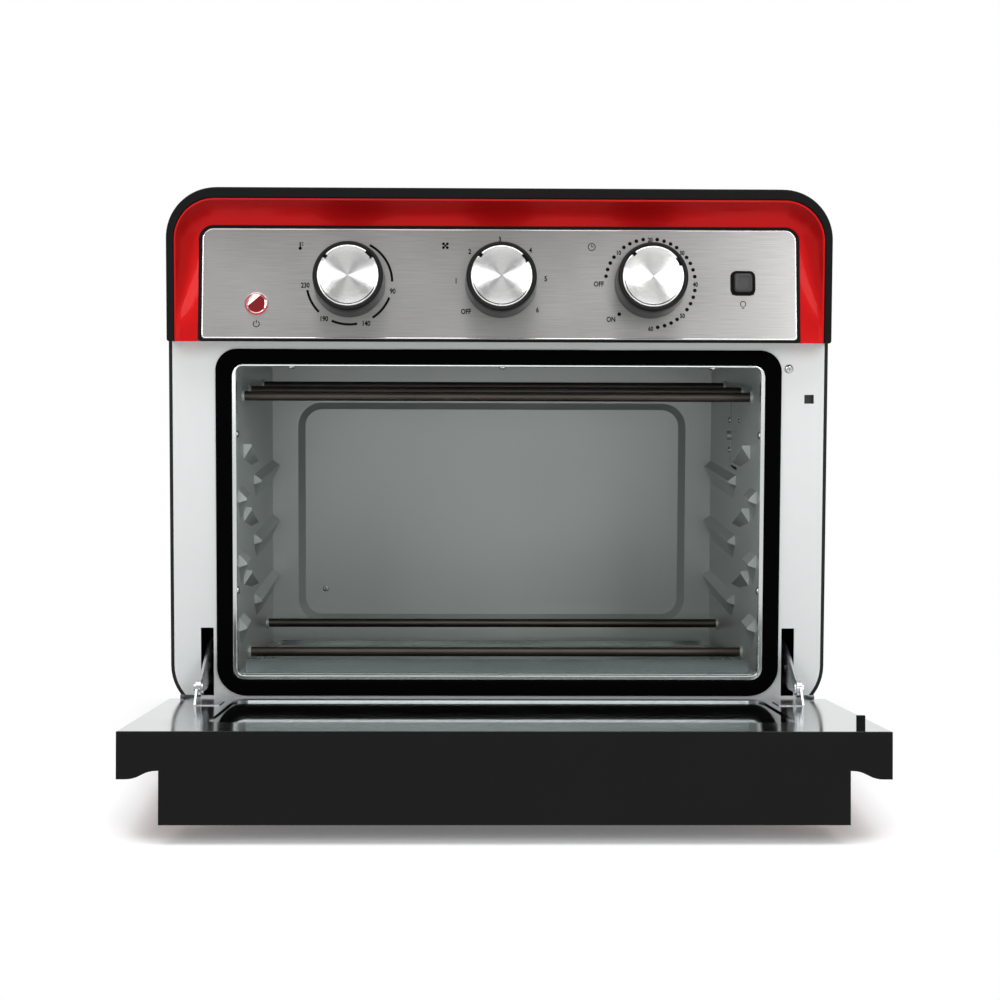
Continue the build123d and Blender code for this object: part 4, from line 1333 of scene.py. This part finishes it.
@dataclass
class Fasteners:
    """The rivets and screws that show on the mouth, the flange, the back and the right wall."""

    shop: Workshop
    lip_in: float = 2.9
    lip_side: float = 3.0
    lip_foot: float = 1.4
    lip_top: float = 1.6
    sheet: float = 0.8
    mouth_across: Triple = (-126.0, 2.0, 130.0)
    mouth_up: Point = (104.0, 199.5)
    flange_screw: Point = (176.4, 240.2)
    back_screw: Point = (-122.0, 71.0)
    wall_rivets: tuple[Triple, ...] = (
        (168.0, 201.5, 2.0), (168.0, 181.5, 2.0), (112.0, 203.5, 1.6), (161.5, 191.5, 2.5),
    )

    def rivet(self, shape: Form, place: Matrix, radius: float, height: float) -> None:
        """Adds a domed rivet head with a dimple, standing on its place.

        Args:
            shape: The mesh to add to.
            place: Its seat, with local Z off the sheet.
            radius: Its radius in millimetres.
            height: How far it stands off the sheet, in millimetres.
        """
        profile = (
            (0.0, -0.3), (radius, -0.3), (radius, height * 0.25), (radius * 0.86, height * 0.72),
            (radius * 0.55, height), (radius * 0.34, height), (radius * 0.26, height * 0.45),
            (0.0, height * 0.4),
        )
        turned(shape, profile, place, 20)

    def cross(self, shape: Form, place: Matrix, radius: float) -> None:
        """Adds a domed screw head with a fine cross standing on it.

        Args:
            shape: The mesh to add to.
            place: Its seat, with local Z off the sheet.
            radius: Its radius in millimetres.
        """
        self.rivet(shape, place, radius, radius * 0.38)
        reach, half, top = radius * 0.62, radius * 0.12, radius * 0.42
        for turn in (45.0, 135.0):
            blade = place @ Matrix.Rotation(math.radians(turn), 4, "Z")
            outline = ((-reach, -half), (reach, -half), (reach, half), (-reach, half))
            slab(shape, outline, blade, top - 0.25, top)

    def mouth(self) -> None:
        """Sets the rivets on the inner faces of the mouth's lip."""
        shape = bmesh.new()
        low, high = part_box("mouth_rim")
        seat = low.y + self.lip_in * MM
        foot, top = low.z + self.lip_foot * MM, high.z - self.lip_top * MM
        side = high.x - self.lip_side * MM
        for x in self.mouth_across:
            self.rivet(shape, facing(DOWN, Vector((x * MM, seat, top))), 2.3, 1.5)
            self.rivet(shape, facing(UP, Vector((x * MM, seat, foot))), 2.5, 1.9)
        for z in self.mouth_up:
            self.rivet(shape, facing(RIGHT, Vector((-side, seat, z * MM))), 2.3, 1.3)
            self.rivet(shape, facing(LEFT, Vector((side, seat, z * MM))), 2.3, 1.3)
        piece = mesh_object("mouth_rivets", shape, self.shop.finish("bright_steel"))
        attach(piece, Body.OVEN.value)

    def walls(self) -> None:
        """Sets the screws of the flange and the back, and the rivets of the right wall."""
        shape = bmesh.new()
        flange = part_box("front_flange")[0].y
        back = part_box("cavity_back")[1].y - self.sheet * MM
        for (x, z), seat, radius in ((self.flange_screw, flange, 2.75), (self.back_screw, back, 2.2)):
            self.cross(shape, facing(FORWARD, Vector((x * MM, seat, z * MM))), radius)
        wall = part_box("cavity_wall_right")[1].x - self.sheet * MM
        for depth, z, radius in self.wall_rivets:
            spot = Vector((wall, flange + depth * MM, z * MM))
            self.rivet(shape, facing(LEFT, spot), radius, 1.2)
        piece = mesh_object("wall_screws", shape, self.shop.finish("bright_steel"))
        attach(piece, Body.OVEN.value)

    def build(self) -> None:
        """Sets every head."""
        self.mouth()
        self.walls()


# Studio


@dataclass
class Studio:
    """The pale floor, the soft lights, the plain world and the camera."""

    lens: float = 84.59
    eye: Triple = (-0.0243, -1.4840, 0.2726)
    pitch: float = 4.513
    yaw: float = 1.008
    roll: float = 0.213
    shadow_centre: float = 0.11
    shadow_aside: Point = (0.19, 0.26)
    shadow_ahead: Point = (0.235, 0.30)
    floor_half: float = 6.0
    floor_glow: float = 0.14
    room_colour: Colour = (0.97, 0.99, 1.0)
    room_light: float = 0.6
    room_dim: float = 0.22
    room_edges: Point = (-0.75, 0.1)

    def floor(self) -> None:
        """Lays the floor: white to the eye, with the object's shadow near it."""
        shape = bmesh.new()
        bmesh.ops.create_grid(shape, x_segments=1, y_segments=1, size=self.floor_half)
        graph = Skin("floor_paper")
        graph.dress(Base_Color=(0.97, 0.97, 0.97), Roughness=0.9, Specular_IOR_Level=0.2)
        across, along = graph.axis("X"), graph.axis("Y") + self.shadow_centre
        aside = (across * across).step(*(edge * edge for edge in self.shadow_aside))
        ahead = (along * along).step(*(edge * edge for edge in self.shadow_ahead))
        far = 1.0 - (1.0 - aside) * (1.0 - ahead)
        soft = graph.out(graph.node("Emission", {}, {"Color": WHITE, "Strength": self.floor_glow}))
        near = graph.out(graph.node("AddShader", {}, {0: graph.out(graph.shader), 1: soft}))
        white = graph.out(graph.node("Emission", {}, {"Color": WHITE, "Strength": 1.0}))
        paper = graph.out(graph.node("MixShader", {}, {0: far, 1: near, 2: white}))
        lit = graph.node("MixShader", {}, {0: graph.seen(), 1: graph.out(graph.shader), 2: paper})
        graph.tree.links.new(lit.outputs[0], graph.output.inputs[0])
        mesh_object("floor", shape, graph.material)

    def world(self) -> None:
        """Makes the room: white behind and above, dim on the camera's side, and soft grey light."""
        world = bpy.data.worlds.new("room")
        bpy.context.scene.world = world
        world.use_nodes = True
        graph = Graph(world.node_tree)
        path = graph.node("LightPath", {}, {})
        direction = graph.out(graph.node("TexCoord", {}, {}), "Generated")
        parts = graph.node("SeparateXYZ", {}, {0: direction})
        backdrop = graph.out(parts, "Y").step(*self.room_edges)
        backdrop = backdrop * (1.0 - self.room_dim) + self.room_dim
        glossy = graph.out(path, "Is Glossy Ray")
        seen = graph.out(path, "Is Camera Ray") + graph.out(path, "Is Transmission Ray") + glossy * backdrop
        light = graph.out(graph.node("Background", {}, {0: self.room_colour, 1: self.room_light}))
        dim = graph.out(graph.node("Background", {}, {0: (0.0, 0.0, 0.0), 1: 0.0}))
        share = graph.out(graph.node("MixShader", {}, {0: glossy, 1: light, 2: dim}))
        white = graph.out(graph.node("Background", {}, {0: WHITE, 1: 1.0}))
        room = graph.out(graph.node("MixShader", {}, {0: seen, 1: share, 2: white}))
        graph.node("OutputWorld", {}, {0: room})

    def lamp(self, name: str, spot: Sequence[float], aim: float, size: Point, watts: float) -> None:
        """Hangs one soft rectangular lamp.

        Args:
            name: The lamp's name.
            spot: Where it hangs, in metres.
            aim: How high over the middle of the floor it aims, in metres.
            size: Its width and height, in metres.
            watts: Its power.
        """
        light = bpy.data.lights.new(name, "AREA")
        light.shape = "RECTANGLE"
        light.size, light.size_y = size
        light.energy = watts
        lamp = bpy.data.objects.new(name, light)
        lamp.location = spot
        lamp.rotation_euler = (Vector((0.0, 0.0, aim)) - Vector(spot)).to_track_quat("-Z", "Y").to_euler()
        bpy.context.scene.collection.objects.link(lamp)

    def lamps(self) -> None:
        """Hangs a wide lamp overhead, one at each side and a low one in front."""
        self.lamp("over", (0.0, -0.5, 1.9), 0.2, (2.4, 1.8), 30.0)
        self.lamp("left", (-0.9, -1.9, 0.95), 0.2, (0.5, 0.8), 7.0)
        self.lamp("right", (0.8, -1.95, 0.95), 0.2, (0.55, 0.8), 10.0)
        self.lamp("low", (0.0, -2.3, 0.3), 0.12, (0.9, 0.35), 2.0)

    def camera(self) -> None:
        """Sets the camera where the photograph was taken from."""
        pitch, yaw, roll = (math.radians(angle) for angle in (self.pitch, self.yaw, self.roll))
        ahead = Vector((math.sin(yaw) * math.cos(pitch), math.cos(yaw) * math.cos(pitch), -math.sin(pitch)))
        side = Vector((math.cos(yaw), -math.sin(yaw), 0.0))
        top = side.cross(ahead)
        right = side * math.cos(roll) + top * math.sin(roll)
        up = top * math.cos(roll) - side * math.sin(roll)
        lens = bpy.data.cameras.new("camera")
        lens.lens = self.lens
        lens.sensor_width = 36.0
        lens.clip_start = 0.01
        camera = bpy.data.objects.new("camera", lens)
        turn = Matrix((right, up, -ahead)).transposed().to_4x4()
        camera.matrix_world = Matrix.Translation(Vector(self.eye)) @ turn
        bpy.context.scene.collection.objects.link(camera)
        bpy.context.scene.camera = camera

    def build(self) -> None:
        """Sets up the whole studio."""
        bpy.context.scene.view_settings.view_transform = "Standard"
        self.floor()
        self.world()
        self.lamps()
        self.camera()


def main() -> None:
    """Builds the oven's looks piece by piece, then the studio."""
    logging.basicConfig(level=logging.INFO, format="%(message)s")
    shop = Workshop()
    shop.dress_frame()
    panel = panel_face()
    plate, dials, print_work = PanelPlate(shop, panel), Dials(shop, panel), DialPrint(shop, panel)
    for part in (plate, dials, print_work, Fasteners(shop), Studio()):
        part.build()
        LOG.info("built %s", type(part).__name__)


if __name__ == "__main__":
    main()
